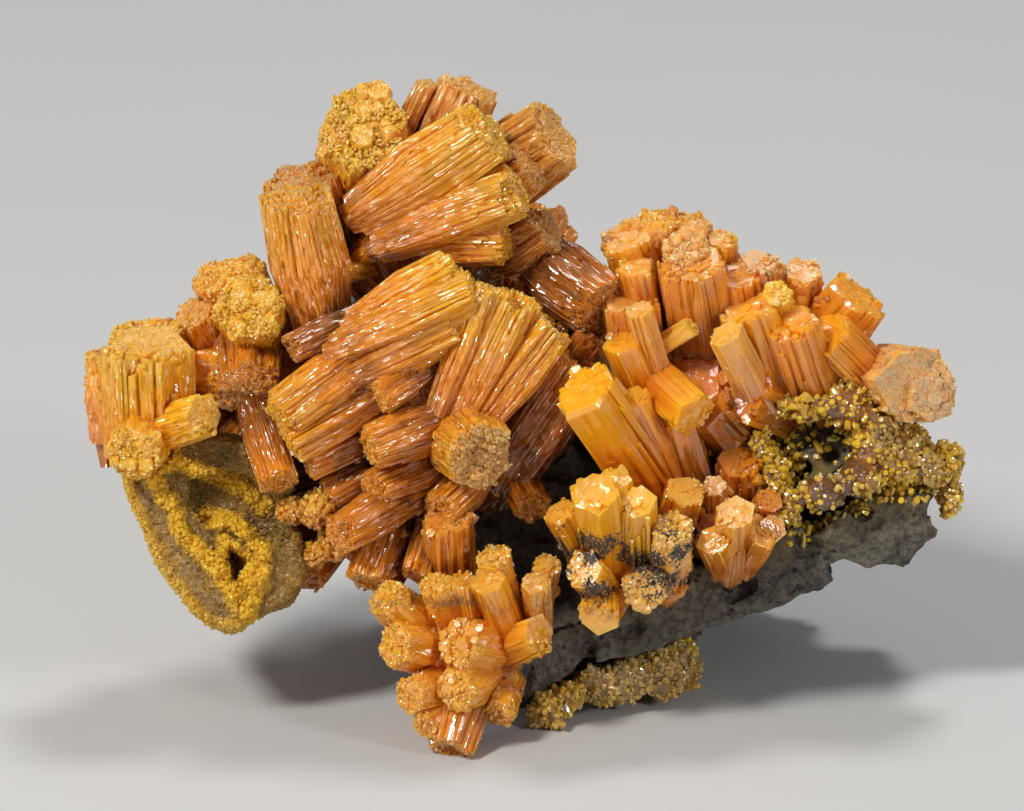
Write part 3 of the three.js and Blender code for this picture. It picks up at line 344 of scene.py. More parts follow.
class Crystal:
    """One crystal: its place and directions in the leaning face, and the closed six-sided rods that it
    grows from, each of three rings of corners."""

    def __init__(self, record, index):
        root, tip, self.wide, self.thick, self.tone, self.sugar, self.frost_and_sheen = record
        self.root = np.array(root, dtype=float)
        run = np.array(tip, dtype=float) - self.root
        self.length = float(np.linalg.norm(run))
        self.along = run / self.length
        across = np.array((self.along[2], 0.0, -self.along[0]))
        if across @ across < 0.01:
            across = np.array((1.0, 0.0, 0.0))
        self.across = across / np.linalg.norm(across)
        self.inward = np.cross(self.across, self.along)
        self.turn = index * TURN_STEP
        self.size = math.sqrt(self.wide * self.thick)
        self.swells = self.wide >= BUNDLE_PLAIN_UNDER
        self.steps = None
        self.rings = []
        self.marks = []

    def reach(self, angle):
        """How far out the six-sided outline is in a direction, with its corners at 1."""
        return math.cos(math.pi / SIDES) / np.cos(np.mod(angle - self.turn, math.pi / 3) - math.pi / 6)

    def spread(self, x, z):
        """Direction, and share of the way from the middle to the outline, of points across the crystal."""
        angle = np.arctan2(x / self.wide, z / self.thick)
        return angle, np.hypot(x / self.wide, z / self.thick) / self.reach(angle)

    def across_at(self, angle, out):
        """Points across the crystal, in directions from its middle and at shares of its half widths."""
        return out * self.wide * np.sin(angle), out * self.thick * np.cos(angle)

    def end_at(self, x, z):
        """How high the crystal's end is at points across it. Bundles end in steps."""
        if self.steps is None:
            return np.full(len(x), self.length)
        seed, ragged, lean_x, lean_z = self.steps
        flat = np.stack((x, z, np.zeros(len(x))), axis=-1)
        ripple = soft_noise(flat, 1.3, seed) + 0.6 * soft_noise(flat, 0.6, seed + 1)
        terrace = np.round(np.clip(soft_noise(flat, 2.4, seed + 3) * 3.2, 0, 3))
        terrace = terrace * min(0.1 * self.length, 1.4) / 3
        return self.length + 0.55 * ragged * ripple + lean_x * x + lean_z * z - terrace

    def placed(self, x, up, z):
        """Points across, along and into the crystal, as points of the leaning face."""
        x, up, z = x[..., None], up[..., None], z[..., None]
        return self.root + x * self.across + up * self.along + z * self.inward

    def add(self, rings, rng, sugar=0, end_sugar=None):
        """More rods, and how sugary their sides and ends are."""
        marks = np.empty((len(rings), 5))
        marks[:, 0] = rng.random(len(rings))
        marks[:, 1] = self.tone
        marks[:, 2] = sugar
        marks[:, 3] = self.frost_and_sheen
        marks[:, 4] = sugar if end_sugar is None else end_sugar
        self.rings.append(rings)
        self.marks.append(marks)


def ring_corners(turn, radius_x, radius_z, uneven=0.0):
    """Corners of six-sided rings round their own middles: across and into the crystal."""
    angle = turn[:, None, None] + np.arange(SIDES) * math.pi / 3
    out = 1 + uneven
    return radius_x[..., None] * np.sin(angle) * out, radius_z[..., None] * np.cos(angle) * out


def columns(crystal, x, z, up, turn, radius_x, radius_z, uneven=0.0, slope=None):
    """Rings of six-sided columns that stand in a crystal, at places across it and three heights each."""
    corner_x, corner_z = ring_corners(turn, radius_x, radius_z, uneven)
    ring_up = np.repeat(up[..., None], SIDES, axis=-1)
    if slope is not None:
        ring_up[:, 2] += slope[:, :1] * corner_x[:, 2] + slope[:, 1:] * corner_z[:, 2]
    return crystal.placed(x[..., None] + corner_x, ring_up, z[..., None] + corner_z)


def middle_column(crystal, up, widths, **shape):
    """One column along the middle, with its widths as shares of the crystal's."""
    nowhere = np.zeros((1, 1))
    widths = np.array([widths])
    return columns(crystal, nowhere, nowhere, np.array([up]), np.array([crystal.turn]),
                   widths * crystal.wide, widths * crystal.thick, **shape)


def fibre_places(crystal, spacing, rng):
    """Places of the fibres across a crystal: an uneven six-sided grid, drawn to the outline at its rim."""
    half_x = int(crystal.wide / spacing) + 2
    half_z = int(crystal.thick / spacing) + 2
    i, j = np.meshgrid(np.arange(-half_x, half_x + 1), np.arange(-half_z, half_z + 1))
    x = (i + 0.5 * (j % 2)).ravel() * spacing
    z = j.ravel() * spacing * 0.87
    x = x + rng.uniform(-0.14, 0.14, len(x)) * spacing
    z = z + rng.uniform(-0.14, 0.14, len(z)) * spacing
    angle, share = crystal.spread(x, z)
    # Lengthwise furrows part the bundle into narrower ones.
    round_it = np.stack((np.sin(angle) * 2.1, np.cos(angle) * 2.1, np.full(len(x), 0.5)), axis=-1)
    furrow = np.clip(soft_noise(round_it, 1.0, int(crystal.length * 97)) * 2 - 0.5, 0, 1)
    share = share / (1 - 0.11 * furrow)
    rim = 1 - 0.55 * spacing / crystal.size
    inside = share < rim + 0.3 * spacing / crystal.size
    x, z, share = x[inside], z[inside], share[inside]
    drawn = np.where(share > rim, rim / share, 1)
    return x * drawn, z * drawn, np.minimum(share, rim)


def fibres(crystal, spacing, broken, ragged, rng, seed):
    """The fibres of a bundle. Only those near its sides run its whole length."""
    x, z, share = fibre_places(crystal, spacing, rng)
    count = len(x)
    depth = (1 - share) * crystal.size
    outer = depth < 2.3 * spacing
    crystal.steps = (seed, ragged, *rng.uniform(-0.10, 0.10, 2))
    end = crystal.end_at(x, z) + ragged * rng.uniform(-0.6, 0.35, count)
    end = end - 0.3 * np.maximum(share - 0.7, 0) * crystal.size
    side = np.stack((x * 1.6, z * 1.6, np.full(count, 3.7)), axis=-1)
    torn = (soft_noise(side, 1.1, seed + 2) * 0.5 + 0.5 + rng.uniform(-0.35, 0.35, count)) < broken
    torn &= depth < 1.3 * spacing
    end = np.where(torn, crystal.length * rng.uniform(0.25, 0.94, count), end)
    start = np.where(outer, -1.5, 0.66 * crystal.length)
    middle = np.where(outer, np.minimum(0.45 * crystal.length, 0.8 * end), (start + end) / 2)
    up = np.stack((start, middle, end), axis=-1)
    below = -1.5 / crystal.length
    if crystal.swells:
        widths = np.interp(up / crystal.length, (below, 0.45, 1), (0.62, 1, BUNDLE_END + 0.03))
    else:
        widths = np.interp(up / crystal.length, (below, 0.3), (0.7, 1))
    radius = spacing * 0.86 * rng.uniform(0.93, 1.07, count)
    radius = np.where(rng.random(count) < 0.10, radius * 1.3, radius)
    ring_radius = radius[:, None] * widths * np.array((1.0, 1.0, 0.92))
    ring_radius[:, 2] *= rng.uniform(0.8, 1.0, count)
    turn = crystal.turn + rng.uniform(-0.05, 0.05, count)
    rings = columns(crystal, x[:, None] * widths, z[:, None] * widths, up, turn, ring_radius, ring_radius,
                    slope=rng.normal(0, 0.25, (count, 2)))
    crystal.add(rings, rng, end_sugar=crystal.sugar)


def core(crystal, share, rng, ends=0.9):
    """The solid heart of a crystal."""
    widths = np.array((BUNDLE_ROOT, 1.0, BUNDLE_END) if crystal.swells else (1.0, 1.0, 1.0)) * share
    up = (0.0, BUNDLE_BELLY * crystal.length * ends, crystal.length * ends)
    crystal.add(middle_column(crystal, up, widths), rng)


def buried_root(crystal, rng):
    """The narrowing root of a crystal, which fills the gap behind it."""
    crystal.add(middle_column(crystal, (-2.6, 0.0, 0.4 * crystal.length), (0.4, 0.62, 0.8)), rng)


def grains(crystal, count, size, spread_up, rng):
    """Small blunt crystals strewn over the end of a crystal, at every slant."""
    angle = rng.uniform(0, 2 * math.pi, count)
    share = np.sqrt(rng.uniform(0.0, 1.0, count)) * 0.97
    out = share * crystal.reach(angle)
    narrow = BUNDLE_END if crystal.swells else 1.0
    x, z = crystal.across_at(angle, out)
    up = crystal.end_at(x, z) + rng.uniform(-0.3, -0.04, count)
    x, z = x * narrow, z * narrow
    on_side = rng.random(count) < spread_up
    side_up = crystal.length * rng.uniform(0.72, 1.0, count)
    rim = crystal.reach(angle) * np.interp(side_up / crystal.length, (0.6, 1), (0.97, 0.96 * narrow))
    side_x, side_z = crystal.across_at(angle, rim)
    x = np.where(on_side, side_x, x)
    z = np.where(on_side, side_z, z)
    up = np.where(on_side, side_up, up)
    heart = crystal.placed(0 * x, up * 0 + crystal.length * 0.5, 0 * z)
    outward = crystal.placed(x, up + 0.8 * crystal.size, z) - heart
    crystal.add(slanted_grains(crystal.placed(x, up, z), outward, size, rng), rng, sugar=1)


def blocky_mass(crystal, rng):
    """A rough waxy crystal: a solid heart in blocks of many sizes. Each kind is a count, size and slant."""
    blocks = ((14, 0.25, 0.5), (46, 0.15, 0.5), (int(34 * crystal.size ** 2), 0.2 / crystal.size, 0.8))
    core(crystal, 0.94, rng, ends=0.96)
    for count, share_of_size, slant in blocks:
        size = share_of_size * crystal.size
        angle = rng.uniform(0, 2 * math.pi, count)
        on_end = rng.random(count) < 0.55
        share = np.where(on_end, np.sqrt(rng.uniform(0, 1, count)), 1.0) * (1 - 0.95 * share_of_size)
        out = share * crystal.reach(angle) * (BUNDLE_END if crystal.swells else 1.0)
        x, z = crystal.across_at(angle, out)
        up = np.where(on_end, crystal.length - size * rng.uniform(0.8, 1.8, count),
                      (crystal.length - size) * rng.uniform(0.3, 1.0, count))
        middle = crystal.placed(x, up, z)
        aside = middle - crystal.placed(0 * x, up, 0 * z)
        outward = np.tile(crystal.along, (count, 1)) + 0.25 * aside / crystal.size
        blocks_there = slanted_grains(middle, outward, size * 0.95, rng, slant, 0.8, (0.9, 1.6))
        crystal.add(blocks_there, rng, sugar=0.15)


def slanted_grains(middle, outward, size, rng, slant=0.55, tip=0.5, tall=(0.9, 2.0)):
    """Small six-sided crystals at their places, each pointing about outward, with a blunt tip."""
    count = len(middle)
    up = outward / np.linalg.norm(outward, axis=-1, keepdims=True) + rng.normal(0, slant, (count, 3))
    up /= np.linalg.norm(up, axis=-1, keepdims=True)
    side = np.cross(up, rng.normal(0, 1, (count, 3)))
    side /= np.linalg.norm(side, axis=-1, keepdims=True)
    other = np.cross(up, side)
    radius = size * rng.uniform(0.55, 1.25, count)
    height = radius * rng.uniform(*tall, count)
    angle = np.arange(SIDES) * math.pi / 3
    rings = []
    for rise, wide in ((-0.9, 0.8), (0.6, 1.0), (1.0, tip)):
        around = side[:, None] * np.cos(angle)[None, :, None] + other[:, None] * np.sin(angle)[None, :, None]
        rings.append(middle[:, None] + around * (radius * wide)[:, None, None]
                     + (up * (height * rise)[:, None])[:, None])
    return np.stack(rings, axis=1)


def side_columns(crystal, x, z, up, radius, slanted, rng):
    """Upright columns turned as the crystal is, with slanted ends."""
    turn = np.full(len(x), crystal.turn)
    rings = columns(crystal, x[:, None], z[:, None], up, turn, radius, radius,
                    slope=rng.normal(0, slanted, (len(x), 2)))
    crystal.add(rings, rng, end_sugar=crystal.sugar)


def clear_prism(crystal, steps, rng, narrow=0.05, wide=0.26):
    """A clear crystal: one smooth prism, with narrower ones grown along its sides to other heights."""
    top = crystal.length
    if crystal.wide >= PRISM_PLAIN_UNDER:
        up = (0.0, top - PRISM_BEVEL * crystal.wide, top)
        widths = np.array((PRISM_ROOT, 1.0, 1 - PRISM_BEVEL)) * 0.985
    else:
        up = (0.0, 0.5 * top, top)
        widths = (0.985, 0.985, 0.96)
    uneven = rng.uniform(-0.16, 0.07, (1, 1, SIDES))
    rings = middle_column(crystal, up, widths, uneven=uneven, slope=rng.normal(0, 0.13, (1, 2)))
    crystal.add(rings, rng, end_sugar=crystal.sugar)
    angle = rng.uniform(0, 2 * math.pi, steps)
    radius = crystal.size * rng.uniform(narrow, wide, steps)
    out = crystal.reach(angle) - radius / crystal.size * 0.86 + rng.uniform(0.0, 0.035, steps)
    x, z = crystal.across_at(angle, out)
    end = top * rng.uniform(0.45, 1.0, steps)
    end = np.where(rng.random(steps) < 0.5, top + rng.uniform(-0.3, 0.22, steps), end)
    up = np.stack((np.full(steps, -0.1), 0.5 * end, end), axis=-1)
    ring_radius = radius[:, None] * np.array((1.0, 1.0, 0.95))
    side_columns(crystal, x, z, up, ring_radius, 0.3, rng)
    growth_terraces(crystal, rng)


def growth_terraces(crystal, rng):
    """Low six-sided steps on the end of a prism."""
    count = int(10 + 8 * crystal.size)
    angle = rng.uniform(0, 2 * math.pi, count)
    share = np.sqrt(rng.uniform(0, 0.75, count)) * crystal.reach(angle)
    radius = crystal.size * rng.uniform(0.10, 0.34, count) * (1.1 - share)
    rise = rng.uniform(-0.05, 0.12, count) + 0.14 * (1 - share)
    up = crystal.length + np.stack((np.full(count, -0.8), np.full(count, -0.3), rise), axis=-1)
    ring_radius = np.maximum(radius, 0.12)[:, None] * np.array((1.0, 1.0, 0.9))
    side_columns(crystal, *crystal.across_at(angle, share), up, ring_radius, 0.12, rng)


# Corner numbers of one rod's faces: its sides in two bands, and its two ends.
ROD_FACES = (
    [(b * SIDES + j, b * SIDES + (j + 1) % SIDES, (b + 1) * SIDES + (j + 1) % SIDES, (b + 1) * SIDES + j)
     for b in range(2) for j in range(SIDES)]
    + [tuple(reversed(range(SIDES))), tuple(range(2 * SIDES, 3 * SIDES))]
)
ROD_CORNERS = np.concatenate([np.array(face) for face in ROD_FACES])
ROD_COUNTS = np.array([len(face) for face in ROD_FACES])


def rod_faces(count):
    """The corners and counts of the faces of some rods, and which rod each face is of."""
    corners = (np.arange(count)[:, None] * 3 * SIDES + ROD_CORNERS).ravel()
    return corners, np.tile(ROD_COUNTS, count), np.repeat(np.arange(count), len(ROD_COUNTS))


def mesh_of(name, points, corners, counts, values):
    """A mesh from arrays, with a value or a direction for each face."""
    mesh = bpy.data.meshes.new(name)
    mesh.vertices.add(len(points))
    mesh.vertices.foreach_set("co", np.ascontiguousarray(points, dtype=np.float32).ravel())
    mesh.loops.add(len(corners))
    mesh.loops.foreach_set("vertex_index", np.ascontiguousarray(corners, dtype=np.int32))
    mesh.polygons.add(len(counts))
    mesh.polygons.foreach_set("loop_start", face_starts(counts).astype(np.int32))
    for key, value in values.items():
        if value.dtype.kind == "i":
            mesh.attributes.new(key, "INT", "FACE").data.foreach_set("value", value.astype(np.int32))
        elif value.ndim == 1:
            mesh.attributes.new(key, "FLOAT", "FACE").data.foreach_set("value", value.astype(np.float32))
        else:
            data = mesh.attributes.new(key, "FLOAT_VECTOR", "FACE").data
            data.foreach_set("vector", np.ascontiguousarray(value, dtype=np.float32).ravel())
    mesh.update(calc_edges=True)
    return mesh


def read(items, key, width=1, kind=np.float32):
    """One property of all of a mesh's points, corners or faces, as an array."""
    found = np.empty(len(items) * width, dtype=kind)
    items.foreach_get(key, found)
    return found.reshape(-1, width) if width > 1 else found


def face_starts(counts):
    """Where each face's corners begin."""
    return np.concatenate(([0], np.cumsum(counts)[:-1]))


def arrays_of(mesh, keys):
    """The points, corners, counts and face values of a mesh."""
    return (read(mesh.vertices, "co", 3), read(mesh.loops, "vertex_index", kind=np.int32),
            read(mesh.polygons, "loop_total", kind=np.int32),
            {key: read(mesh.attributes[key].data, "value") for key in keys})


def modified(mesh, kind, values=(), **settings):
    """The mesh that a modifier makes of a mesh, which it takes the place of."""
    holder = bpy.data.objects.new("holder", mesh)
    bpy.context.scene.collection.objects.link(holder)
    modifier = holder.modifiers.new("step", kind)
    for key, value in settings.items():
        setattr(modifier, key, value)
    for key, value in values:
        modifier[key] = value
    held = holder.evaluated_get(bpy.context.evaluated_depsgraph_get())
    result = bpy.data.meshes.new_from_object(held)
    bpy.data.objects.remove(holder)
    bpy.data.meshes.remove(mesh)
    return result


def growing_tree():
    """Geometry nodes that grow overlapping solids together by lot number, cut them at the ground, and leave
    out what stays loose and has too few faces."""
    tree = bpy.data.node_groups.new("grown together", "GeometryNodeTree")
    tree.interface.new_socket("Geometry", in_out="INPUT", socket_type="NodeSocketGeometry")
    tree.interface.new_socket("Fewest Faces", in_out="INPUT", socket_type="NodeSocketInt")
    tree.interface.new_socket("Geometry", in_out="OUTPUT", socket_type="NodeSocketGeometry")
    w = Wiring(tree)
    entry = w.put("NodeGroupInput")
    result = w.put("NodeGroupOutput")
    lot = w.put("GeometryNodeInputNamedAttribute", data_type="INT")
    lot.inputs["Name"].default_value = "lot"
    split = w.put("GeometryNodeSplitToInstances", domain="FACE")
    w.feed(entry.outputs[0], split.inputs["Geometry"])
    w.feed(lot.outputs["Attribute"], split.inputs["Group ID"])
    join = w.put("GeometryNodeMeshBoolean", operation="UNION", solver="MANIFOLD")
    w.feed(split.outputs["Instances"], join.inputs[1])
    block = w.put("GeometryNodeMeshCube")
    block.inputs["Size"].default_value = (0.4, 0.4, 0.2)
    lowered = w.put("GeometryNodeTransform")
    lowered.inputs["Translation"].default_value = (0, 0, -0.1)
    w.feed(block.outputs["Mesh"], lowered.inputs["Geometry"])
    trim = w.put("GeometryNodeMeshBoolean", operation="DIFFERENCE", solver="MANIFOLD")
    w.feed(join.outputs["Mesh"], trim.inputs[0])
    w.feed(lowered.outputs["Geometry"], trim.inputs[1])
    faces = w.put("GeometryNodeAccumulateField", domain="FACE")
    w.feed(w.put("GeometryNodeInputMeshIsland").outputs["Island Index"], faces.inputs["Group ID"])
    small = w.sum("LESS_THAN", faces.outputs["Total"], entry.outputs["Fewest Faces"])
    drop = w.put("GeometryNodeDeleteGeometry", domain="FACE")
    w.feed(trim.outputs["Mesh"], drop.inputs["Geometry"])
    w.feed(small, drop.inputs["Selection"])
    w.feed(drop.outputs["Geometry"], result.inputs[0])
    return tree


def grown(mesh, fewest=0):
    """A mesh whose lots have been grown together into closed surfaces, each with at least some faces."""
    tree = bpy.data.node_groups.get("grown together") or growing_tree()
    least = tree.interface.items_tree["Fewest Faces"].identifier
    result = modified(mesh, "NODES", ((least, fewest),), node_group=tree)
    if not len(result.polygons):
        raise RuntimeError("the solids didn't grow together")
    return result


FACE_KEYS = ("own", "tone", "sugar", "frost_and_sheen")
# Loose crumbs of a spray with fewer faces are left out.
CRUMB_FACES = 100
# The small crystals of the hollows stand in the surface by this much.
RUBBLE_SUNK = 0.00045


def bent(points):
    """Places in the model, moved a little so that nothing is perfectly straight. The ground stays flat."""
    moved = [0.00026 * soft_noise(points, 0.0048, 60 + axis) + 0.00010 * soft_noise(points, 0.0015, 70 + axis)
             for axis in range(3)]
    held = np.clip(points[:, 2:] / 0.002, 0, 1)
    bent_points = points + np.stack(moved, axis=-1) * held
    bent_points[:, 2] = np.maximum(bent_points[:, 2], 0)
    return bent_points


def finished(mesh, name, most):
    """The mesh bent a little, flat-faceted, and thinned to at most a number of triangles."""
    points = bent(read(mesh.vertices, "co", 3).astype(float))
    mesh.vertices.foreach_set("co", points.astype(np.float32).ravel())
    mesh.update()
    mesh.calc_loop_triangles()
    count = len(mesh.loop_triangles)
    if count > most:
        mesh = modified(mesh, "DECIMATE", ratio=most / count)
    mesh.name = name
    mesh.shade_flat()
    return mesh


def crystal_surface(crystal):
    """One crystal's rods grown together, with the values that its material reads."""
    rings = np.concatenate(crystal.rings)
    marks = np.concatenate(crystal.marks)
    corners, counts, lots = rod_faces(len(rings))
    values = {key: np.repeat(marks[:, i], len(ROD_COUNTS)) for i, key in enumerate(FACE_KEYS)}
    values["sugar"][len(ROD_COUNTS) - 1::len(ROD_COUNTS)] = marks[:, 4]
    values["lot"] = lots
    result = grown(mesh_of("crystal", in_row(rings.reshape(-1, 3)), corners, counts, values))
    points, corners, counts, values = arrays_of(result, FACE_KEYS)
    bpy.data.meshes.remove(result)
    ends = in_row(np.stack((crystal.root, crystal.root + crystal.along * crystal.length)))
    run = ends[1] - ends[0]
    lengthwise = run / (run @ run)
    values["lengthwise"] = np.tile(lengthwise, (len(counts), 1))
    values["from_root"] = np.full(len(counts), float(ends[0] @ lengthwise))
    return points, corners, counts, values


def sugared(crystal, share, sizes, spread_up, rng):
    """Sugary grains over a share of a crystal's end."""
    count = int(share * crystal.wide * crystal.thick / (sizes.sugar_spacing * 1000) ** 2)
    if count:
        grains(crystal, count, sizes.sugar_grain * 1000, spread_up, rng)


def crystal_made(record, index, kind, sizes, rng, seed, spread_up):
    """One crystal of the given kind, with sugary grains over its end."""
    crystal = Crystal(record, index)
    buried_root(crystal, rng)
    if kind == "rough":
        blocky_mass(crystal, rng)
    elif kind == "bundle":
        # Bundles on the side away from the face are coarser.
        spacing = sizes.fibre_spacing * (1000 if crystal.root[1] < HIDDEN_FROM else 1900)
        core(crystal, 0.86, rng)
        fibres(crystal, spacing, sizes.broken_fibres, sizes.fibre_raggedness * 1000, rng, seed)
    else:
        more, narrow, wide = PRISM_COLUMNS[kind]
        clear_prism(crystal, sizes.prism_steps * more, rng, narrow, wide)
    sugared(crystal, crystal.sugar * 1.5, sizes, spread_up, rng)
    return crystal_surface(crystal)


def kind_of(name, index):
    """The kind of a spray's crystal, by its number."""
    usual, others = KINDS[name]
    return next((kind for kind, numbers in others.items() if index in numbers), usual)


def gathered(surfaces):
    """Several surfaces as one, with the face values of the first."""
    offsets = np.cumsum([0] + [len(s[0]) for s in surfaces[:-1]])
    return (np.concatenate([s[0] for s in surfaces]),
            np.concatenate([s[1] + offset for s, offset in zip(surfaces, offsets)]),
            np.concatenate([s[2] for s in surfaces]),
            {key: np.concatenate([s[3][key] for s in surfaces]) for key in surfaces[0][3]})


def joined_surfaces(name, surfaces, most):
    """Several closed surfaces grown into one mesh."""
    points, corners, counts, values = gathered(surfaces)
    values["lot"] = np.repeat(np.arange(len(surfaces)), [len(s[2]) for s in surfaces])
    return finished(grown(mesh_of(name, points, corners, counts, values), CRUMB_FACES), name, most)


def strewn_surface(places, outward, size, slant, tone, sugar, frost_and_sheen, rng):
    """Strewn small crystals, grown together where they overlap."""
    result = grown(mesh_of("strewn", *grain_surface(places, outward, size, slant, tone, sugar, frost_and_sheen, rng,
                                                    0.85, (0.9, 1.9))))
    points, corners, counts, values = arrays_of(result, (*FACE_KEYS, "from_root"))
    bpy.data.meshes.remove(result)
    values["lengthwise"] = np.zeros((len(counts), 3))
    return points, corners, counts, values


def rubble(node, shallowest, spacing, size, tones, frost_and_sheen, seed):
    """Small crystals that fill the hollows between a spray's large ones, behind the given depth."""
    rng = np.random.default_rng(seed)
    points, corners, counts, normals = even_copy(node, 0.0007)
    deep = in_face(face_middles(points, corners, counts))[:, 1]
    keep = np.clip((deep - shallowest) / 1.5, 0, 1) * np.clip((15.5 - deep) / 1.5, 0.03, 1)
    places, outward = strewn(points, corners, counts, normals, spacing, keep, rng)
    count = len(places)
    tone = rng.uniform(*tones, count)
    sizes = size * rng.uniform(0.5, 1.4, count)
    sunk = places - outward / np.linalg.norm(outward, axis=1, keepdims=True) * RUBBLE_SUNK
    return strewn_surface(sunk, outward, sizes, 0.5, tone, 0.3 * rng.random(count),
                          frost_and_sheen * rng.random(count), rng)


def shown(name, mesh, node, material):
    """A finished piece in the scene, in place of its solid."""
    piece = bpy.data.objects.new(name, mesh)
    bpy.context.scene.collection.objects.link(piece)
    mesh.materials.clear()
    mesh.materials.append(material)
    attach(piece, "root")
    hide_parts(node)


def even_copy(node, grain):
    """The points, corners and counts of a CAD solid's own copy, with small even faces."""
    mesh = modified(bpy.data.objects[node].data.copy(), "REMESH", mode="VOXEL", voxel_size=grain)
    normals = read(mesh.vertex_normals, "vector", 3).astype(float)
    points, corners, counts, _ = arrays_of(mesh, ())
    bpy.data.meshes.remove(mesh)
    return points.astype(float), corners, counts, normals


def face_middles(points, corners, counts):
    """The middle of each face."""
    return np.add.reduceat(points[corners], face_starts(counts), axis=0) / counts[:, None]


def distance_to_path(points, path):
    """How far points of the face plane are from a run of straight lines, in millimetres."""
    nearest = np.full(len(points), 1e9)
    flat = points[:, (0, 2)]
    for a, b in zip(np.array(path[:-1]), np.array(path[1:])):
        step = b - a
        share = np.clip((flat - a) @ step / (step @ step), 0, 1)
        nearest = np.minimum(nearest, np.linalg.norm(flat - a - share[:, None] * step, axis=1))
    return nearest


def plain_values(count, tone, sugar, frost_and_sheen, rng):
    """Face values of a surface that has no length of its own."""
    return {
        "own": rng.random(count),
        "tone": np.broadcast_to(tone, count).astype(float),
        "sugar": np.broadcast_to(sugar, count).astype(float),
        "frost_and_sheen": np.broadcast_to(frost_and_sheen, count).astype(float),
        "lengthwise": np.zeros((count, 3)),
        "from_root": np.full(count, -0.5),
    }


def strewn(points, corners, counts, normals, spacing, keep, rng):
    """Places on a surface and their outward directions, about one for each square of the spacing."""
    starts = face_starts(counts)
    first = points[corners[starts]]
    second = points[corners[starts + 1]]
    third = points[corners[starts + 2]]
    area = np.linalg.norm(np.cross(second - first, third - first), axis=1) * np.where(counts > 3, 1.0, 0.5)
    area = area * keep
    wanted = int(area.sum() / spacing ** 2)
    face = rng.choice(len(counts), wanted, p=area / area.sum())
    mix = rng.dirichlet((1, 1, 1), wanted)
    place = mix[:, :1] * first[face] + mix[:, 1:2] * second[face] + mix[:, 2:] * third[face]
    return place, normals[corners[starts[face]]]


def grain_surface(places, outward, size, slant, tone, sugar, frost_and_sheen, rng, tip=0.5, tall=(0.9, 2.0)):
    """Strewn grains as one batch of closed solids in metres, each a lot of its own."""
    rings = slanted_grains(places, outward, size, rng, slant, tip, tall)
    corners, counts, lots = rod_faces(len(rings))
    each = plain_values(len(rings), tone, sugar, frost_and_sheen, rng)
    values = {key: np.repeat(value, len(ROD_COUNTS), axis=0) for key, value in each.items()}
    values["lot"] = lots
    return rings.reshape(-1, 3), corners, counts, values


def crusted(name, base, crust, most):
    """A base surface with its crust of grains grown into it."""
    points, corners, counts, values = gathered((base, crust))
    values["lot"] = np.concatenate((np.zeros(len(base[2]), dtype=np.int64), crust[3]["lot"] + 1))
    return finished(grown(mesh_of(name, points, corners, counts, values)), name, most)


# Materials.

def new_group(name, inputs, outputs):
    """A shader node group with its named inputs and outputs."""
    tree = bpy.data.node_groups.new(name, "ShaderNodeTree")
    for key, kind, value in inputs:
        socket = tree.interface.new_socket(key, in_out="INPUT", socket_type=kind)
        if value is not None:
            socket.default_value = value
    for key, kind in outputs:
        tree.interface.new_socket(key, in_out="OUTPUT", socket_type=kind)
    return tree, tree.nodes.new("NodeGroupInput"), tree.nodes.new("NodeGroupOutput")


class Wiring:
    """Short ways to add and join shader nodes."""

    def __init__(self, tree):
        self.tree = tree

    def put(self, kind, **settings):
        node = self.tree.nodes.new(kind)
        for key, value in settings.items():
            setattr(node, key, value)
        return node

    def feed(self, source, socket):
        if isinstance(source, bpy.types.NodeSocket):
            self.tree.links.new(source, socket)
        else:
            socket.default_value = source

    def sum(self, operation, *sources, clamp=False):
        node = self.put("ShaderNodeMath", operation=operation, use_clamp=clamp)
        for source, socket in zip(sources, node.inputs):
            self.feed(source, socket)
        return node.outputs[0]

    def swing(self, source, middle, factor):
        """How far one value is over another, times a factor."""
        return self.sum("MULTIPLY", self.sum("SUBTRACT", source, middle), factor)

    def vector(self, operation, *sources):
        node = self.put("ShaderNodeVectorMath", operation=operation)
        for source, socket in zip(sources, node.inputs):
            self.feed(source, socket)
        return node.outputs["Value" if operation == "DOT_PRODUCT" else "Vector"]

    def scaled(self, vector, factor):
        node = self.put("ShaderNodeVectorMath", operation="SCALE")
        self.feed(vector, node.inputs[0])
        self.feed(factor, node.inputs["Scale"])
        return node.outputs["Vector"]

    def between(self, source, low, high, to_low=0.0, to_high=1.0):
        node = self.put("ShaderNodeMapRange", clamp=True)
        for value, key in ((source, "Value"), (low, "From Min"), (high, "From Max"),
                           (to_low, "To Min"), (to_high, "To Max")):
            self.feed(value, node.inputs[key])
        return node.outputs["Result"]

    def noise(self, vector, scale, detail=2.0, roughness=0.5):
        node = self.put("ShaderNodeTexNoise")
        self.feed(vector, node.inputs["Vector"])
        self.feed(scale, node.inputs["Scale"])
        node.inputs["Detail"].default_value = detail
        node.inputs["Roughness"].default_value = roughness
        return node.outputs["Fac"]

    def cells(self, vector, scale):
        node = self.put("ShaderNodeTexVoronoi")
        self.feed(vector, node.inputs["Vector"])
        self.feed(scale, node.inputs["Scale"])
        return node

    def mixed(self, share, first, second):
        node = self.put("ShaderNodeMix", data_type="RGBA")
        self.feed(share, node.inputs["Factor"])
        self.feed(first, node.inputs[6])
        self.feed(second, node.inputs[7])
        return node.outputs[2]

    def place(self):
        """Where on its object a point is."""
        return self.put("ShaderNodeTexCoord").outputs["Object"]

    def drawn_out(self, place, share):
        """Places with their distance along the crystal reduced by a share, so that patterns run along it."""
        unit = self.vector("NORMALIZE", self.marked("lengthwise", vector=True))
        run = self.vector("DOT_PRODUCT", place, unit)
        return self.vector("SUBTRACT", place, self.scaled(unit, self.sum("MULTIPLY", run, share)))

    def marked(self, name, vector=False):
        node = self.put("ShaderNodeAttribute", attribute_name=name, attribute_type="GEOMETRY")
        return node.outputs["Vector" if vector else "Fac"]


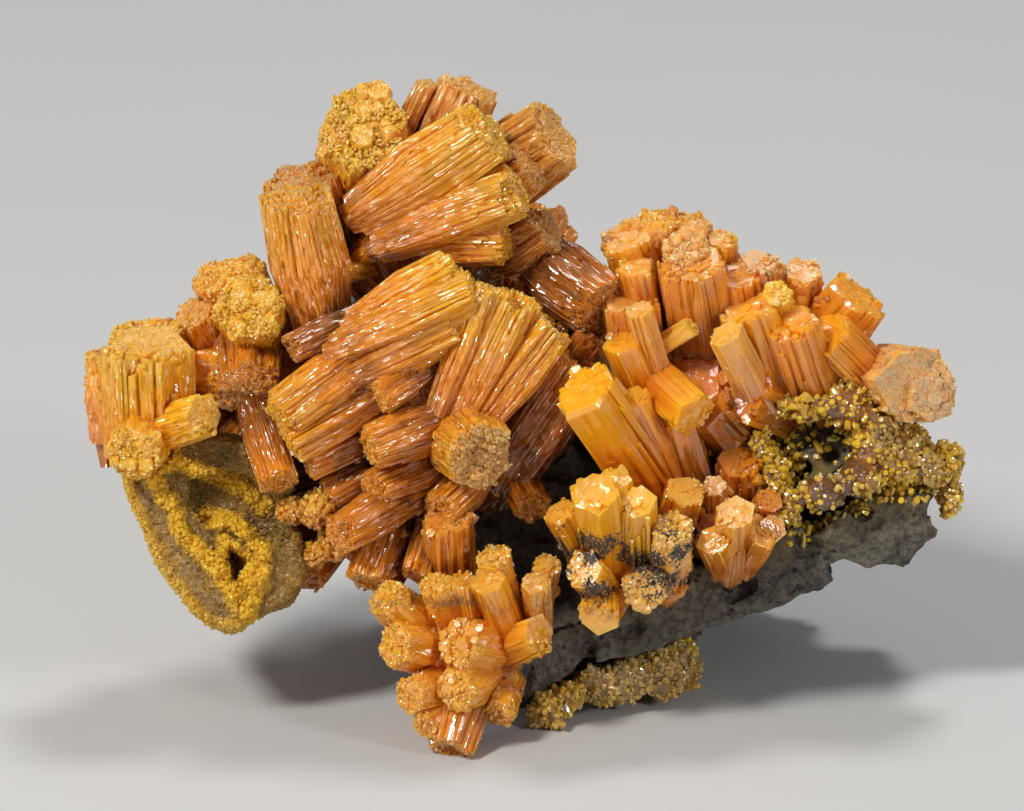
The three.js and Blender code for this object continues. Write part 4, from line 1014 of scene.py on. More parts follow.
def fibre_grain_group():
    """How far along its crystal a point is, and the fine lengthwise lines of its surface."""
    tree, entry, result = new_group(
        "lengthwise grain",
        (("Fineness", "NodeSocketFloat", 5200.0),),
        (("Along", "NodeSocketFloat"), ("Lines", "NodeSocketFloat"), ("Broad Lines", "NodeSocketFloat")),
    )
    w = Wiring(tree)
    place = w.place()
    lengthwise = w.marked("lengthwise", vector=True)
    along = w.sum("SUBTRACT", w.vector("DOT_PRODUCT", place, lengthwise), w.marked("from_root"))
    flattened = w.drawn_out(place, 0.86)
    fine = w.noise(flattened, entry.outputs["Fineness"], detail=2.0, roughness=0.6)
    broad = w.noise(flattened, w.sum("MULTIPLY", entry.outputs["Fineness"], 0.28), detail=1.0)
    w.feed(along, result.inputs["Along"])
    w.feed(fine, result.inputs["Lines"])
    w.feed(broad, result.inputs["Broad Lines"])
    return tree


def glint_group():
    """Normals of many small flat facets, drawn out along the crystal, and which of them are smoothest."""
    tree, entry, result = new_group(
        "small facets",
        (("Fineness", "NodeSocketFloat", 3000.0), ("Drawn Out", "NodeSocketFloat", 0.85),
         ("Tilt", "NodeSocketFloat", 0.35)),
        (("Normal", "NodeSocketVector"), ("Smooth", "NodeSocketFloat")),
    )
    w = Wiring(tree)
    cells = w.cells(w.drawn_out(w.place(), entry.outputs["Drawn Out"]), entry.outputs["Fineness"])
    lean = w.vector("SUBTRACT", cells.outputs["Color"], (0.5, 0.5, 0.5))
    surface = w.put("ShaderNodeNewGeometry").outputs["Normal"]
    tilted = w.vector("NORMALIZE", w.vector("ADD", surface, w.scaled(lean, entry.outputs["Tilt"])))
    parts = w.put("ShaderNodeSeparateColor")
    w.feed(cells.outputs["Color"], parts.inputs[0])
    w.feed(tilted, result.inputs["Normal"])
    w.feed(w.between(parts.outputs["Red"], 0.60, 0.66), result.inputs["Smooth"])
    return tree


COLOUR_STEPS = ("Yellow", "Golden", "Orange", "Brown", "Dark", "Frost And Sheen")


def crystal_colour_group():
    """The colour of a crystal from its tone, with a yellow end, a red root and streaks between."""
    tree, entry, result = new_group(
        "crystal colour",
        (
            ("Along", "NodeSocketFloat", 0.5), ("Broad Lines", "NodeSocketFloat", 0.5),
            *((key, "NodeSocketColor", None) for key in COLOUR_STEPS),
            ("End Lightening", "NodeSocketFloat", 0.42), ("Patchiness", "NodeSocketFloat", 0.35),
            ("Streaks", "NodeSocketFloat", 0.36),
        ),
        (("Color", "NodeSocketColor"), ("Frosting And Sheen", "NodeSocketFloat")),
    )
    w = Wiring(tree)
    given = entry.outputs
    place = w.place()
    patches = w.noise(place, 420.0, detail=3.0, roughness=0.6)
    tone = w.marked("tone")
    for change in (w.swing(0.62, given["Along"], given["End Lightening"]),
                   w.swing(patches, 0.5, given["Patchiness"]),
                   w.swing(given["Broad Lines"], 0.5, given["Streaks"]),
                   w.swing(w.marked("own"), 0.5, 0.06)):
        tone = w.sum("ADD", tone, change)
    tone = w.sum("ADD", tone, w.sum("MULTIPLY", w.marked("sugar"), 0.04), clamp=True)
    colour = given["Yellow"]
    for low, high, key in ((0.0, 0.25, "Golden"), (0.25, 0.52, "Orange"), (0.52, 0.78, "Brown"),
                           (0.78, 1.0, "Dark")):
        colour = w.mixed(w.between(tone, low, high), colour, given[key])
    # Frosting follows the crystal's own share of it, in patches, and its grains are a little paler.
    # On a few crystals the frosting is painted sheen.
    cloud = w.between(w.noise(place, 900.0, detail=3.0, roughness=0.7), 0.35, 0.65)
    frosting_and_sheen = w.sum("MULTIPLY", w.marked("frost_and_sheen"), w.between(cloud, 0.0, 1.0, 0.25, 1.0))
    sugary = w.sum("MULTIPLY", w.marked("sugar"), w.between(cloud, 0.0, 1.0, 0.22, 0.62))
    frosting_and_sheen = w.sum("ADD", frosting_and_sheen, sugary, clamp=True)
    colour = w.mixed(frosting_and_sheen, colour, given["Frost And Sheen"])
    w.feed(colour, result.inputs["Color"])
    w.feed(frosting_and_sheen, result.inputs["Frosting And Sheen"])
    return tree


def speck_group():
    """Black branching specks in a band of heights."""
    tree, entry, result = new_group(
        "black specks",
        (("Amount", "NodeSocketFloat", 0.5), ("Low", "NodeSocketFloat", 0.0),
         ("High", "NodeSocketFloat", 0.02)),
        (("Mask", "NodeSocketFloat"),),
    )
    w = Wiring(tree)
    place = w.place()
    parts = w.put("ShaderNodeSeparateXYZ")
    w.feed(place, parts.inputs[0])
    up = w.sum("SUBTRACT", parts.outputs["Z"], entry.outputs["Low"])
    down = w.sum("SUBTRACT", entry.outputs["High"], parts.outputs["Z"])
    height = w.between(w.sum("MINIMUM", up, down), 0.0, 0.002)
    patch = w.between(w.noise(place, 260.0, detail=2.0), 0.34, 0.54)
    fern = w.noise(place, 2900.0, detail=6.0, roughness=0.72)
    cut = w.between(w.sum("MULTIPLY", height, patch), 0.0, 1.0, 0.70, 0.425)
    mask = w.between(w.sum("SUBTRACT", fern, cut), 0.0, 0.03)
    w.feed(w.sum("MULTIPLY", mask, entry.outputs["Amount"]), result.inputs["Mask"])
    return tree


def sugar_group():
    """The facets of grains too small to model, on sugary faces."""
    tree, entry, result = new_group("sugar grain", (("Fineness", "NodeSocketFloat", 6500.0),),
                                    (("Height", "NodeSocketFloat"),))
    w = Wiring(tree)
    facets = w.cells(w.place(), entry.outputs["Fineness"])
    w.feed(w.swing(0.7, facets.outputs["Distance"], w.marked("sugar")), result.inputs["Height"])
    return tree


def group_named(name, make):
    """A node group, made when it is first asked for."""
    return bpy.data.node_groups.get(name) or make()


def group_node(w, tree, **values):
    """A node group in a material, with its inputs fed."""
    node = w.put("ShaderNodeGroup", node_tree=tree)
    for key, value in values.items():
        w.feed(value, node.inputs[key.replace("_", " ")])
    return node


def new_material(name):
    """A material, short ways to wire it, and its shader."""
    material = bpy.data.materials.new(name)
    material.use_nodes = True
    return material, Wiring(material.node_tree), material.node_tree.nodes["Principled BSDF"]


def crystal_material(name, look, colours, fineness, gloss, glow, lines, facets, tilt, drawn=0.9,
                     specks=0.0, speck_low=0.0, speck_high=0.02, patchiness=0.35, streaks=0.36,
                     ior=MIMETITE_IOR):
    """A translucent crystal material. Its colours run from yellow to dark; the last is its frosting, on a few
    crystals painted sheen.
    """
    material, w, shader = new_material(name)
    grain = group_node(w, group_named("lengthwise grain", fibre_grain_group), Fineness=fineness)
    colour = group_node(
        w, group_named("crystal colour", crystal_colour_group),
        Along=grain.outputs["Along"], Broad_Lines=grain.outputs["Broad Lines"],
        **{key: (*getattr(look, colour), 1) for key, colour in zip(COLOUR_STEPS, colours)},
        Patchiness=patchiness, Streaks=streaks,
    )
    base = colour.outputs["Color"]
    glints = group_node(w, group_named("small facets", glint_group), Fineness=facets, Drawn_Out=drawn,
                        Tilt=tilt)
    shiny = w.sum("MULTIPLY", glints.outputs["Smooth"], 0.2)
    rough = w.between(colour.outputs["Frosting And Sheen"], 0.0, 0.8, gloss, 0.6)
    rough = w.sum("ADD", rough, w.swing(grain.outputs["Lines"], 0.5, 0.18))
    rough = w.sum("MAXIMUM", w.sum("SUBTRACT", rough, shiny), 0.08)
    if specks:
        mask = group_node(w, group_named("black specks", speck_group), Amount=specks, Low=speck_low,
                          High=speck_high).outputs["Mask"]
        base = w.mixed(mask, base, (0.012, 0.01, 0.009, 1))
        rough = w.sum("ADD", rough, w.sum("MULTIPLY", mask, 0.6), clamp=True)
    w.feed(base, shader.inputs["Base Color"])
    w.feed(rough, shader.inputs["Roughness"])
    shader.inputs["IOR"].default_value = ior
    shader.inputs["Subsurface Weight"].default_value = glow
    shader.inputs["Subsurface Radius"].default_value = (1.0, 0.55, 0.15)
    shader.inputs["Subsurface Scale"].default_value = 0.0018
    sugar = group_node(w, group_named("sugar grain", sugar_group))
    bump = w.put("ShaderNodeBump")
    bump.inputs["Strength"].default_value = lines
    bump.inputs["Distance"].default_value = 0.00012
    w.feed(w.sum("ADD", grain.outputs["Lines"], w.sum("MULTIPLY", sugar.outputs["Height"], 1.6)),
           bump.inputs["Height"])
    w.feed(glints.outputs["Normal"], bump.inputs["Normal"])
    w.feed(bump.outputs["Normal"], shader.inputs["Normal"])
    return material


def rock_material(look):
    """Dull grey-brown rock with ochre stains, and pits painted near-black as shade."""
    material, w, shader = new_material("pitted rock")
    place = w.place()
    broad = w.noise(place, 180.0, detail=4.0, roughness=0.6)
    grain = w.noise(place, 1500.0, detail=5.0, roughness=0.75)
    shaded_pits = w.cells(place, 900.0)
    # Painted shade: a near-black mask over the pits, which also sinks them in the bump.
    dark = w.between(shaded_pits.outputs["Distance"], 0.10, 0.32, 1.0, 0.0)
    dark = w.sum("MULTIPLY", dark, w.between(w.noise(place, 520.0), 0.48, 0.62))
    base = w.mixed(w.between(broad, 0.35, 0.65), (*look.rock, 1), (*look.pale_rock, 1))
    base = w.mixed(w.between(grain, 0.44, 0.58, 0.0, 0.8), base, (*look.dark_rock, 1))
    stain = w.sum("MULTIPLY", w.marked("stain"), w.between(w.noise(place, 600.0, detail=3.0), 0.35, 0.6))
    base = w.mixed(stain, base, (*look.stain, 1))
    base = w.mixed(dark, base, (0.012, 0.010, 0.009, 1))
    w.feed(base, shader.inputs["Base Color"])
    shader.inputs["Roughness"].default_value = 0.92
    shader.inputs["IOR"].default_value = 1.5
    bump = w.put("ShaderNodeBump")
    bump.inputs["Strength"].default_value = 0.9
    bump.inputs["Distance"].default_value = 0.0005
    w.feed(w.sum("SUBTRACT", grain, w.sum("MULTIPLY", dark, 1.2)), bump.inputs["Height"])
    w.feed(bump.outputs["Normal"], shader.inputs["Normal"])
    return material


AMBER = ("yellow", "golden", "orange", "brown", "dark")

# What each crystal material is made with. The colours are named as in the settings.
CRYSTAL_LOOKS = {
    "fibrous crystal": dict(
        colours=(*AMBER, "sugar"), fineness=5600.0, gloss=0.24, glow=0.55, lines=0.75, facets=4000.0,
        drawn=0.74, tilt=1.1, patchiness=0.42, streaks=0.2),
    "clear crystal": dict(
        colours=(*AMBER, "frost_and_sheen"), fineness=5000.0, gloss=0.13, glow=0.6, lines=0.45, facets=1200.0,
        drawn=0.86, tilt=0.35, patchiness=0.5, streaks=0.14),
    "spotted crystal": dict(
        colours=(*AMBER, "frost_and_sheen"), fineness=5000.0, gloss=0.14, glow=0.6, lines=0.4, facets=1200.0,
        tilt=0.3, specks=1.0, speck_low=0.0135, speck_high=0.0235, patchiness=0.5, streaks=0.14),
    "lower crystal": dict(
        colours=(*AMBER, "sugar"), fineness=4600.0, gloss=0.16, glow=0.6, lines=0.5, facets=2600.0,
        tilt=0.6, specks=0.55, speck_low=0.0125, speck_high=0.0165, patchiness=0.5, streaks=0.2),
    "sugary crystal": dict(
        colours=("yellow", "sugary_gold", "sugary_gold", "sugary_brown", "sugary_dark", "sugary_grey"),
        fineness=3000.0, gloss=0.30, glow=0.5, lines=0.3, facets=6500.0, drawn=0.0, tilt=1.1,
        ior=SUGARY_IOR),
    "frosted crystal": dict(
        colours=(*AMBER, "sugar"), fineness=3000.0, gloss=0.42, glow=0.4, lines=0.35, facets=5200.0,
        drawn=0.0, tilt=0.7, patchiness=0.7),
    "crust crystal": dict(
        colours=("crust", "sugary_gold", "sugary_brown", "brown", "dark", "crust_grey"), fineness=3000.0,
        gloss=0.22, glow=0.5, lines=0.1, facets=3000.0, drawn=0.0, tilt=0.4),
}


def material_named(name, look):
    """A material of the specimen, made when it is first asked for."""
    made = bpy.data.materials.get(name)
    if made:
        return made
    if name in CRYSTAL_LOOKS:
        return crystal_material(name, look, **CRYSTAL_LOOKS[name])
    return rock_material(look)


# Settings.

def shade(name, description, default):
    return bpy.props.FloatVectorProperty(name=name, description=description, subtype="COLOR", size=3,
                                         min=0.0, max=1.0, default=default)


def small_length(name, description, default):
    return bpy.props.FloatProperty(name=name, description=description, default=default, min=0.00005,
                                   unit="LENGTH", precision=5)


def fraction(name, description, default):
    return bpy.props.FloatProperty(name=name, description=description, default=default, min=0.0, max=1.0,
                                   subtype="FACTOR")


class SpecimenSizes(bpy.types.PropertyGroup):
    """Sizes and shares of the fine parts"""
    fibre_spacing: small_length("Fibre spacing", "Distance between neighbouring fibres of a bundle", 0.00034)
    fibre_raggedness: small_length("End raggedness", "How unevenly the fibres of a bundle end", 0.00028)
    broken_fibres: fraction("Broken fibres", "Share of the fibres at a bundle's sides that end early", 0.3)
    sugar_grain: small_length("Sugar grain", "Half width of the grains on sugary ends", 0.0001)
    sugar_spacing: small_length("Sugar spacing", "Distance between the grains on sugary ends", 0.00026)
    druse_grain: small_length("Crust crystal", "Half width of the crystals of the yellow crust", 0.00025)
    druse_spacing: small_length("Crust spacing", "Distance between the crystals of the yellow crust", 0.00043)
    prism_steps: bpy.props.IntProperty(name="Prism steps", default=18, min=0, max=60,
                                       description="Narrow crystals grown along each clear crystal")
    rock_grain: small_length("Rock facet", "Size of the smallest facets of the rock", 0.0005)


class SpecimenColours(bpy.types.PropertyGroup):
    """Colours of the crystals, the rock and the floor"""
    yellow: shade("Yellow", "Colour of the lightest crystal ends", (0.92, 0.50, 0.02))
    golden: shade("Golden", "Colour of the golden crystals", (0.89, 0.39, 0.01))
    orange: shade("Orange", "Colour of the orange crystals", (0.78, 0.25, 0.010))
    brown: shade("Red-brown", "Colour of the crystals' roots", (0.33, 0.097, 0.010))
    dark: shade("Dark brown", "Colour of the darkest crystals", (0.12, 0.036, 0.006))
    # Painted sheen in part: besides real frosting, this colour stands for pale shine on a few flat faces.
    frost_and_sheen: shade("Frost And Sheen", "Colour of the frosting on clear crystals", (0.64, 0.44, 0.24))
    # Also the frosting colour of the bundles, which on a few smooth crystals is painted sheen.
    sugar: shade("Sugar", "Colour of sugary ends of the bundles", (0.56, 0.37, 0.16))
    sugary_gold: shade("Sugary gold", "Golden parts of the hollow crystal and the crusts",
                       (0.70, 0.39, 0.022))
    sugary_brown: shade("Sugary brown", "Brown parts of the hollow crystal and the crusts",
                        (0.31, 0.165, 0.018))
    # Painted shade: this darkest sugary colour is reached mostly in the hollow crystal's recess.
    sugary_dark: shade("Sugary dark", "Darkest parts of the hollow crystal", (0.21, 0.125, 0.016))
    sugary_grey: shade("Sugary grey", "Frosted parts of the hollow crystal", (0.36, 0.235, 0.12))
    crust: shade("Crust", "Colour of the lightest crystals of the yellow crust", (0.92, 0.56, 0.04))
    crust_grey: shade("Crust grey", "Colour of the greyest crystals of the yellow crust", (0.33, 0.25, 0.12))
    rock: shade("Rock", "Main colour of the rock", (0.112, 0.098, 0.078))
    pale_rock: shade("Pale rock", "Colour of the rock's lighter parts", (0.205, 0.178, 0.142))
    dark_rock: shade("Dark rock", "Colour of the rock's dark grains", (0.050, 0.040, 0.030))
    stain: shade("Stain", "Colour of the yellow stain on the rock", (0.26, 0.19, 0.035))
    floor: shade("Floor", "Colour of the floor", (0.56, 0.56, 0.55))


class SPECIMEN_OT_fibrous_sprays(bpy.types.Operator):
    """Build the sprays of fibrous bundles in the middle, at the top and at the left"""
    bl_idname = "specimen.fibrous_sprays"
    bl_label = "Fibrous Sprays"

    def knob(self, crystal, size, rng):
        """A rounded knob of blocky grains."""
        rings = middle_column(crystal, np.array((0.1, 0.5, 0.9)) * crystal.length, (0.4, 0.86, 0.45))
        crystal.add(rings, rng, sugar=0.3)
        middle = crystal.placed(np.zeros(1), np.full(1, crystal.length / 2), np.zeros(1))
        way = rng.normal(0, 1, (190, 3))
        way /= np.linalg.norm(way, axis=1, keepdims=True)
        places = middle + 0.82 * (way[:, :1] * crystal.across * crystal.wide
                                  + way[:, 1:2] * crystal.along * crystal.length / 2
                                  + way[:, 2:] * crystal.inward * crystal.thick)
        crystal.add(slanted_grains(places, places - middle, size * 2.4, rng, 0.3, 0.8), rng, sugar=0.3)

    def execute(self, context):
        sizes, look = context.scene.specimen_sizes, context.scene.specimen_colours
        # Each spray: its crystals and knobs, the depth from which small crystals fill it, and how many
        # triangles it may have.
        for number, (name, crystals, knobs, deep, most) in enumerate((
            ("centre_spray", CENTRE_SPRAY, JOINING_KNOBS, 6.0, 175000),
            ("upper_spray", UPPER_SPRAY, (), 9.5, 185000),
            ("left_cluster", LEFT_CLUSTER, (), 8.5, 98000),
        )):
            surfaces = [rubble(name, deep, 0.0014, 0.0004, (0.35, 0.75), 0.0, 400 + number)]
            for index, record in enumerate(crystals):
                surfaces.append(crystal_made(record, index, kind_of(name, index), sizes,
                                             np.random.default_rng(100 * number + index),
                                             1000 * number + 10 * index, 0.3))
            # Crystals behind the gaps, toned dark as painted shade.
            for index, record in enumerate(BEHIND_PAINTED_SHADE.get(name, ())):
                crystal = Crystal(record, index)
                clear_prism(crystal, 24, np.random.default_rng(950 + index))
                surfaces.append(crystal_surface(crystal))
            for index, (at, size) in enumerate(knobs):
                rng = np.random.default_rng(900 + index)
                low = (at[0], at[1], at[2] - size[2])
                high = (at[0], at[1] - 0.4, at[2] + size[2])
                crystal = Crystal((low, high, size[0], size[1], 0.3, 1.0, 0.0), index)
                self.knob(crystal, sizes.sugar_grain * 1000, rng)
                surfaces.append(crystal_surface(crystal))
            mesh = joined_surfaces(name + "_fibres", surfaces, most)
            shown(name + "_fibres", mesh, name, material_named("fibrous crystal", look))
        return {"FINISHED"}


class SPECIMEN_OT_clear_prisms(bpy.types.Operator):
    """Build the clear crystals of the right side, the front groups and the lower cluster"""
    bl_idname = "specimen.clear_prisms"
    bl_label = "Clear Prisms"

    def execute(self, context):
        sizes, look = context.scene.specimen_sizes, context.scene.specimen_colours
        # Each cluster: its crystals, the depth from which small ones fill it, how many triangles it may
        # have, and its material.
        for number, (name, crystals, deep, most, material) in enumerate((
            ("right_spray", RIGHT_SPRAY, 5.5, 95000, "clear crystal"),
            ("spotted_group", SPOTTED_GROUP, 2.5, 20000, "spotted crystal"),
            ("small_prisms", SMALL_PRISMS, 4.5, 14000, "clear crystal"),
            ("lower_cluster", LOWER_CLUSTER, 3.0, 48000, "lower crystal"),
        )):
            surfaces = [rubble(name, deep, 0.0013, 0.0004, (0.25, 0.7), 0.4, 500 + number)]
            for index, record in enumerate(crystals):
                surfaces.append(crystal_made(record, index, kind_of(name, index), sizes,
                                             np.random.default_rng(2000 + 100 * number + index), 5000 + index,
                                             0.25))
            mesh = joined_surfaces(name + "_prisms", surfaces, most)
            shown(name + "_prisms", mesh, name, material_named(material, look))
        return {"FINISHED"}


class SPECIMEN_OT_hopper_crystal(bpy.types.Operator):
    """Build the hollow sugar-coated crystal at the left, with its bright ridges"""
    bl_idname = "specimen.hopper_crystal"
    bl_label = "Hollow Crystal"

    def looks(self, at):
        """How bright, how brown and how frosted the hollow crystal is at points of the face, with painted
        shade in its recess.
        """
        uneven = 0.3 * soft_noise(at, 0.9, 41)
        rim = distance_to_path(at, (*HOPPER_HOLE, HOPPER_HOLE[0]))
        ridge = np.min([distance_to_path(at, path) for path in HOPPER_RIDGES], axis=0)
        edge = distance_to_path(at, HOPPER_EDGE)
        bright = 0.95 * np.clip(1.8 - (ridge + uneven) / 0.65, 0, 1)
        bright = np.maximum(bright, np.clip(1.6 - (rim + uneven) / 0.62, 0, 1))
        bright = np.maximum(bright, 0.7 * np.clip(1.5 - (edge + uneven) / 0.8, 0, 1))
        path = np.array(HOPPER_RIDGES[0])[::-1]
        left = np.clip((np.interp(at[:, 2], path[:, 1], path[:, 0]) - at[:, 0]) / 0.6, 0, 1)
        # Painted shade: the recess is made browner and darker than the rest.
        shade = np.clip(1.4 - distance_to_path(at, HOPPER_SHADED_RECESS) / 3.0, 0, 1)
        tone = (0.64 + (0.13 + 0.09 * shade) * (1 - left)) * (1 - bright) + 0.05 * bright
        frost_and_sheen = (0.5 * left) * (1 - bright)
        return bright, tone, frost_and_sheen

    def execute(self, context):
        sizes, look = context.scene.specimen_sizes, context.scene.specimen_colours
        rng = np.random.default_rng(31)
        points, corners, counts, normals = even_copy("hopper_crystal", 0.00045)
        points = points + normals * (0.00025 * soft_noise(points, 0.0022, 5)[:, None])
        points = points + rng.normal(0, 0.00007, points.shape)
        at = in_face(points)
        bright, _, _ = self.looks(at)
        at[:, 1] -= 1.5 * bright * np.clip((9 - at[:, 1]) / 2, 0, 1) * (0.7 + 0.6 * soft_noise(at, 0.8, 44))
        points = in_row(at)
        bright, tone, frost_and_sheen = self.looks(in_face(face_middles(points, corners, counts)))
        values = plain_values(len(counts), tone, 0.3 - 0.2 * bright, frost_and_sheen, rng)
        deep = in_face(points[corners[face_starts(counts)]])[:, 1]
        places, outward = strewn(points, corners, counts, normals, sizes.sugar_spacing * 1.5,
                                 np.where(deep < 10, 1.0, 0.25), rng)
        # Brown crystals deep in the hole close it from behind.
        behind = [rng.uniform(low, high, HOLE_CRYSTALS) for low, high in ((-31, -26), (9.8, 11), (16.5, 23))]
        places = np.concatenate((places, in_row(np.stack(behind, axis=-1))))
        outward = np.concatenate((outward, np.tile((0.0, -0.94, 0.34), (HOLE_CRYSTALS, 1))))
        bright, tone, frost_and_sheen = self.looks(in_face(places))
        size = sizes.sugar_grain * (1.0 + 1.5 * bright)
        for values_there, value in ((size, 0.0007), (bright, 0), (tone, 0.66), (frost_and_sheen, 0)):
            values_there[-HOLE_CRYSTALS:] = value
        crust = grain_surface(places, outward, size, 0.6, tone, 0.3 - 0.25 * bright, frost_and_sheen, rng)
        mesh = crusted("hopper_crystal_sugar", (points, corners, counts, values), crust, 112000)
        shown("hopper_crystal_sugar", mesh, "hopper_crystal",
              material_named("sugary crystal", look))
        return {"FINISHED"}


class SPECIMEN_OT_plate_crystal(bpy.types.Operator):
    """Build the frosted plate-like crystal at the far right"""
    bl_idname = "specimen.plate_crystal"
    bl_label = "Plate Crystal"

    def execute(self, context):
        sizes, look = context.scene.specimen_sizes, context.scene.specimen_colours
        surfaces = []
        for index, record in enumerate(PLATE_CRYSTAL):
            rng = np.random.default_rng(51 + index)
            crystal = Crystal(record, index)
            clear_prism(crystal, 60, rng, 0.05, 0.2)
            sugared(crystal, 1.1, sizes, 0.3, rng)
            surfaces.append(crystal_surface(crystal))
        mesh = joined_surfaces("plate_crystal_frost", surfaces, 16000)
        shown("plate_crystal_frost", mesh, "plate_crystal",
              material_named("frosted crystal", look))
        return {"FINISHED"}


class SPECIMEN_OT_crusts(bpy.types.Operator):
    """Build the yellow crust of tiny crystals, and the crystals under the plate"""
    bl_idname = "specimen.crusts"
    bl_label = "Crusts"

    def bareness(self, places):
        """How bare the yellow crust is: most in one upright patch."""
        x, _, up = in_face(places).T
        return np.clip(1.5 - np.hypot((x - 30.5) / 3.6, (up - 29) / 8), 0, 1)

    def on_rock(self, sizes, rng):
        """Places for crust crystals on the rock round the yellow crust, and their directions."""
        points, corners, counts, normals = even_copy("matrix_rock", 0.0008)
        middles = in_face(face_middles(points, corners, counts))
        x, deep, up = middles.T
        keep = np.clip((x - 19.5) / 2, 0, 1) * np.clip((up - (0.30 * x + 13.5)) / 2, 0, 1)
        keep = keep * np.clip((15 - deep) / 3, 0, 1) * np.clip(soft_noise(middles, 2.6, 33) * 2 + 1.1, 0, 1)
        return strewn(points, corners, counts, normals, sizes.druse_spacing, keep, rng)

    def execute(self, context):
        sizes, look = context.scene.specimen_sizes, context.scene.specimen_colours
        for number, name in enumerate(("yellow_druse", "under_cluster")):
            rng = np.random.default_rng(71 + number)
            points, corners, counts, normals = even_copy(name, 0.0004)
            points = points - normals * 0.0002
            points = points + normals * (0.0003 * soft_noise(points, 0.0021, 8)[:, None])
            middles = face_middles(points, corners, counts)
            bare = self.bareness(middles) * (1 - number)
            values = plain_values(len(counts), 0.48 + 0.5 * bare, 0, 0.2, rng)
            places, outward = strewn(points, corners, counts, normals, sizes.druse_spacing,
                                     np.ones(len(counts)), rng)
            if name == "yellow_druse":
                more, aside = self.on_rock(sizes, rng)
                places, outward = np.concatenate((places, more)), np.concatenate((outward, aside))
            bare = self.bareness(places) * (1 - number)
            shows = rng.random(len(places)) > 0.75 * bare
            places, outward, bare = places[shows], outward[shows], bare[shows]
            grey = np.clip(soft_noise(places, 0.004, 12) * 1.6 - 0.15 + 0.5 * number + 0.5 * bare, 0, 1)
            tone = 0.02 + 0.42 * rng.random(len(places)) ** 1.5
            size = sizes.druse_grain * rng.uniform(0.6, 1.3, len(places))
            crust = grain_surface(places, outward, size, 0.5, tone, 0.05, 0.8 * grey, rng, 0.8, (1.2, 2.4))
            mesh = crusted(name + "_crust", (points, corners, counts, values), crust, (138000, 30000)[number])
            shown(name + "_crust", mesh, name, material_named("crust crystal", look))
        return {"FINISHED"}


class SPECIMEN_OT_rock(bpy.types.Operator):
    """Build the broken, pitted plate of rock"""
    bl_idname = "specimen.rock"
    bl_label = "Rock"

    def execute(self, context):
        sizes, look = context.scene.specimen_sizes, context.scene.specimen_colours
        rng = np.random.default_rng(91)
        points, corners, counts, normals = even_copy("matrix_rock", sizes.rock_grain)
        rough = 0.55 * soft_noise(points, 0.006, 21) + 0.42 * soft_noise(points, 0.0024, 22)
        rough = rough + 0.2 * soft_noise(points, 0.0011, 23)
        holes = np.clip(soft_noise(points, 0.0034, 24) - 0.32, 0, 1) * 4.2
        holes = holes + np.clip(soft_noise(points, 0.0016, 25) - 0.36, 0, 1) * 2.4
        fine = 0.14 * soft_noise(points, 0.0006, 26)
        moved = points + normals * ((rough + fine - 0.35 - holes) * 0.001)[:, None]
        # The flat foot stays flat.
        foot = np.clip(points[:, 2] / 0.0015, 0, 1)[:, None]
        points = points * (1 - foot) + moved * foot
        points[:, 2] = np.maximum(points[:, 2], 0)
        middles = face_middles(points, corners, counts)
        face = in_face(middles)
        values = plain_values(len(counts), 0.5, 0, 0, rng)
        near = np.clip(1.1 - np.abs(face[:, 2] - (0.34 * face[:, 0] + 17.5)) / 7, 0, 1)
        values["stain"] = near * np.clip(1.6 - face[:, 1] / 12, 0.1, 1)
        name = "matrix_rock_stone"
        mesh = finished(mesh_of(name, points, corners, counts, values), name, 70000)
        shown(name, mesh, "matrix_rock", material_named("pitted rock", look))
        return {"FINISHED"}


# What the camera looks at, in the leaning face, from how far and through what lens.
AIM = (-1.2, 15.0, 35.65)
CAMERA_AWAY = 1.2
CAMERA_LENS = 421.9
FLOOR_HALF = 1.5

# Each light: its name, place, size, power and colour.
LIGHTS = (
    ("key light", (-0.42, -0.38, 0.62), 0.15, 4.95, (1.0, 0.97, 0.93)),
    ("fill light", (0.55, -0.42, 0.30), 0.12, 1.5, (0.98, 0.98, 1.0)),
    ("top light", (0.12, 0.22, 0.70), 0.14, 1.95, (1.0, 1.0, 1.0)),
    ("side light", (-0.66, -0.30, 0.16), 0.12, 0.9, (1.0, 1.0, 1.0)),
)


def area_light(aim, name, place, size, power, colour):
    """A soft square light that faces the aim."""
    data = bpy.data.lights.new(name, "AREA")
    data.size = size
    data.energy = power
    data.color = colour
    lamp = bpy.data.objects.new(name, data)
    lamp.location = place
    lamp.rotation_euler = (Vector(aim) - Vector(place)).to_track_quat("-Z", "Y").to_euler()
    bpy.context.scene.collection.objects.link(lamp)


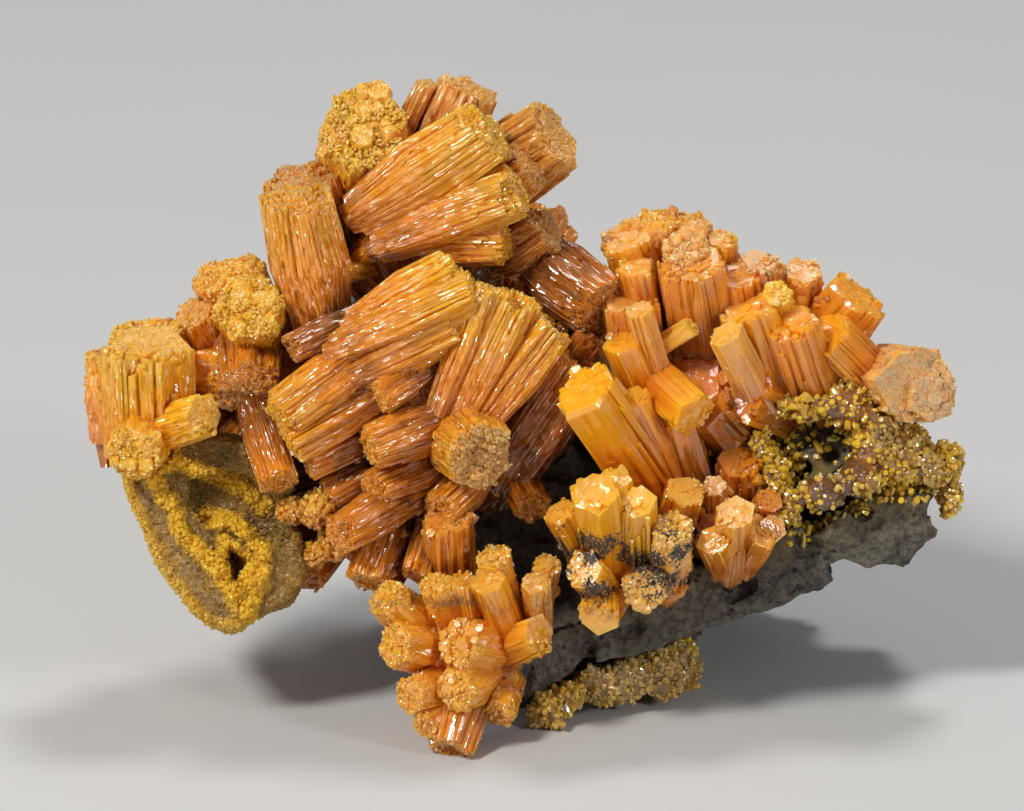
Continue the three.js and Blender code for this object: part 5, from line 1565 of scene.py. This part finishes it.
class SPECIMEN_OT_stage(bpy.types.Operator):
    """Set the pale floor, the soft lights and the camera"""
    bl_idname = "specimen.stage"
    bl_label = "Stage"

    def execute(self, context):
        look = context.scene.specimen_colours
        scene = context.scene
        points = FLOOR_HALF * np.array(((-1, -1, 0), (1, -1, 0), (1, 1, 0), (-1, 1, 0)))
        mesh = mesh_of("floor", points, np.array((0, 1, 2, 3)), np.array((4,)), {})
        floor = bpy.data.objects.new("floor", mesh)
        scene.collection.objects.link(floor)
        paper, w, shader = new_material("pale paper")
        pale = (*look.floor, 1)
        shadow = (*(0.97 * c for c in look.floor), 1)
        w.feed(w.mixed(w.noise(w.place(), 40.0, detail=4.0), pale, shadow), shader.inputs["Base Color"])
        shader.inputs["Roughness"].default_value = 0.8
        mesh.materials.append(paper)

        aim = in_row(AIM)
        sight = np.array((0.0, math.cos(LEAN), -math.sin(LEAN)))
        data = bpy.data.cameras.new("camera")
        data.sensor_width = 36
        data.lens = CAMERA_LENS
        data.clip_end = 10
        camera = bpy.data.objects.new("camera", data)
        camera.location = aim - CAMERA_AWAY * sight
        camera.rotation_euler = (math.pi / 2 - LEAN, 0, 0)
        scene.collection.objects.link(camera)
        scene.camera = camera

        for light in LIGHTS:
            area_light(aim, *light)
        world = bpy.data.worlds.new("soft room")
        scene.world = world
        world.use_nodes = True
        world.node_tree.nodes["Background"].inputs["Color"].default_value = (0.9, 0.93, 1.0, 1)
        world.node_tree.nodes["Background"].inputs["Strength"].default_value = 0.17
        scene.view_settings.view_transform = "Standard"
        return {"FINISHED"}


class SPECIMEN_PT_panel(bpy.types.Panel):
    """The specimen's sizes, colours and build steps"""
    bl_idname = "SPECIMEN_PT_panel"
    bl_label = "Specimen"
    bl_space_type = "VIEW_3D"
    bl_region_type = "UI"
    bl_category = "Specimen"

    def draw(self, context):
        layout = self.layout
        for settings in (context.scene.specimen_sizes, context.scene.specimen_colours):
            box = layout.box()
            for key in settings.__annotations__:
                box.prop(settings, key)
        for operator in OPERATORS:
            layout.operator(operator.bl_idname)


OPERATORS = (
    SPECIMEN_OT_rock,
    SPECIMEN_OT_fibrous_sprays,
    SPECIMEN_OT_clear_prisms,
    SPECIMEN_OT_hopper_crystal,
    SPECIMEN_OT_plate_crystal,
    SPECIMEN_OT_crusts,
    SPECIMEN_OT_stage,
)
CLASSES = (SpecimenSizes, SpecimenColours, *OPERATORS, SPECIMEN_PT_panel)


def register():
    for item in CLASSES:
        bpy.utils.register_class(item)
    bpy.types.Scene.specimen_sizes = bpy.props.PointerProperty(type=SpecimenSizes)
    bpy.types.Scene.specimen_colours = bpy.props.PointerProperty(type=SpecimenColours)


def unregister():
    del bpy.types.Scene.specimen_colours
    del bpy.types.Scene.specimen_sizes
    for item in reversed(CLASSES):
        bpy.utils.unregister_class(item)


def main():
    register()
    bpy.ops.specimen.rock()
    bpy.ops.specimen.fibrous_sprays()
    bpy.ops.specimen.clear_prisms()
    bpy.ops.specimen.hopper_crystal()
    bpy.ops.specimen.plate_crystal()
    bpy.ops.specimen.crusts()
    bpy.ops.specimen.stage()


if __name__ == "__main__":
    main()
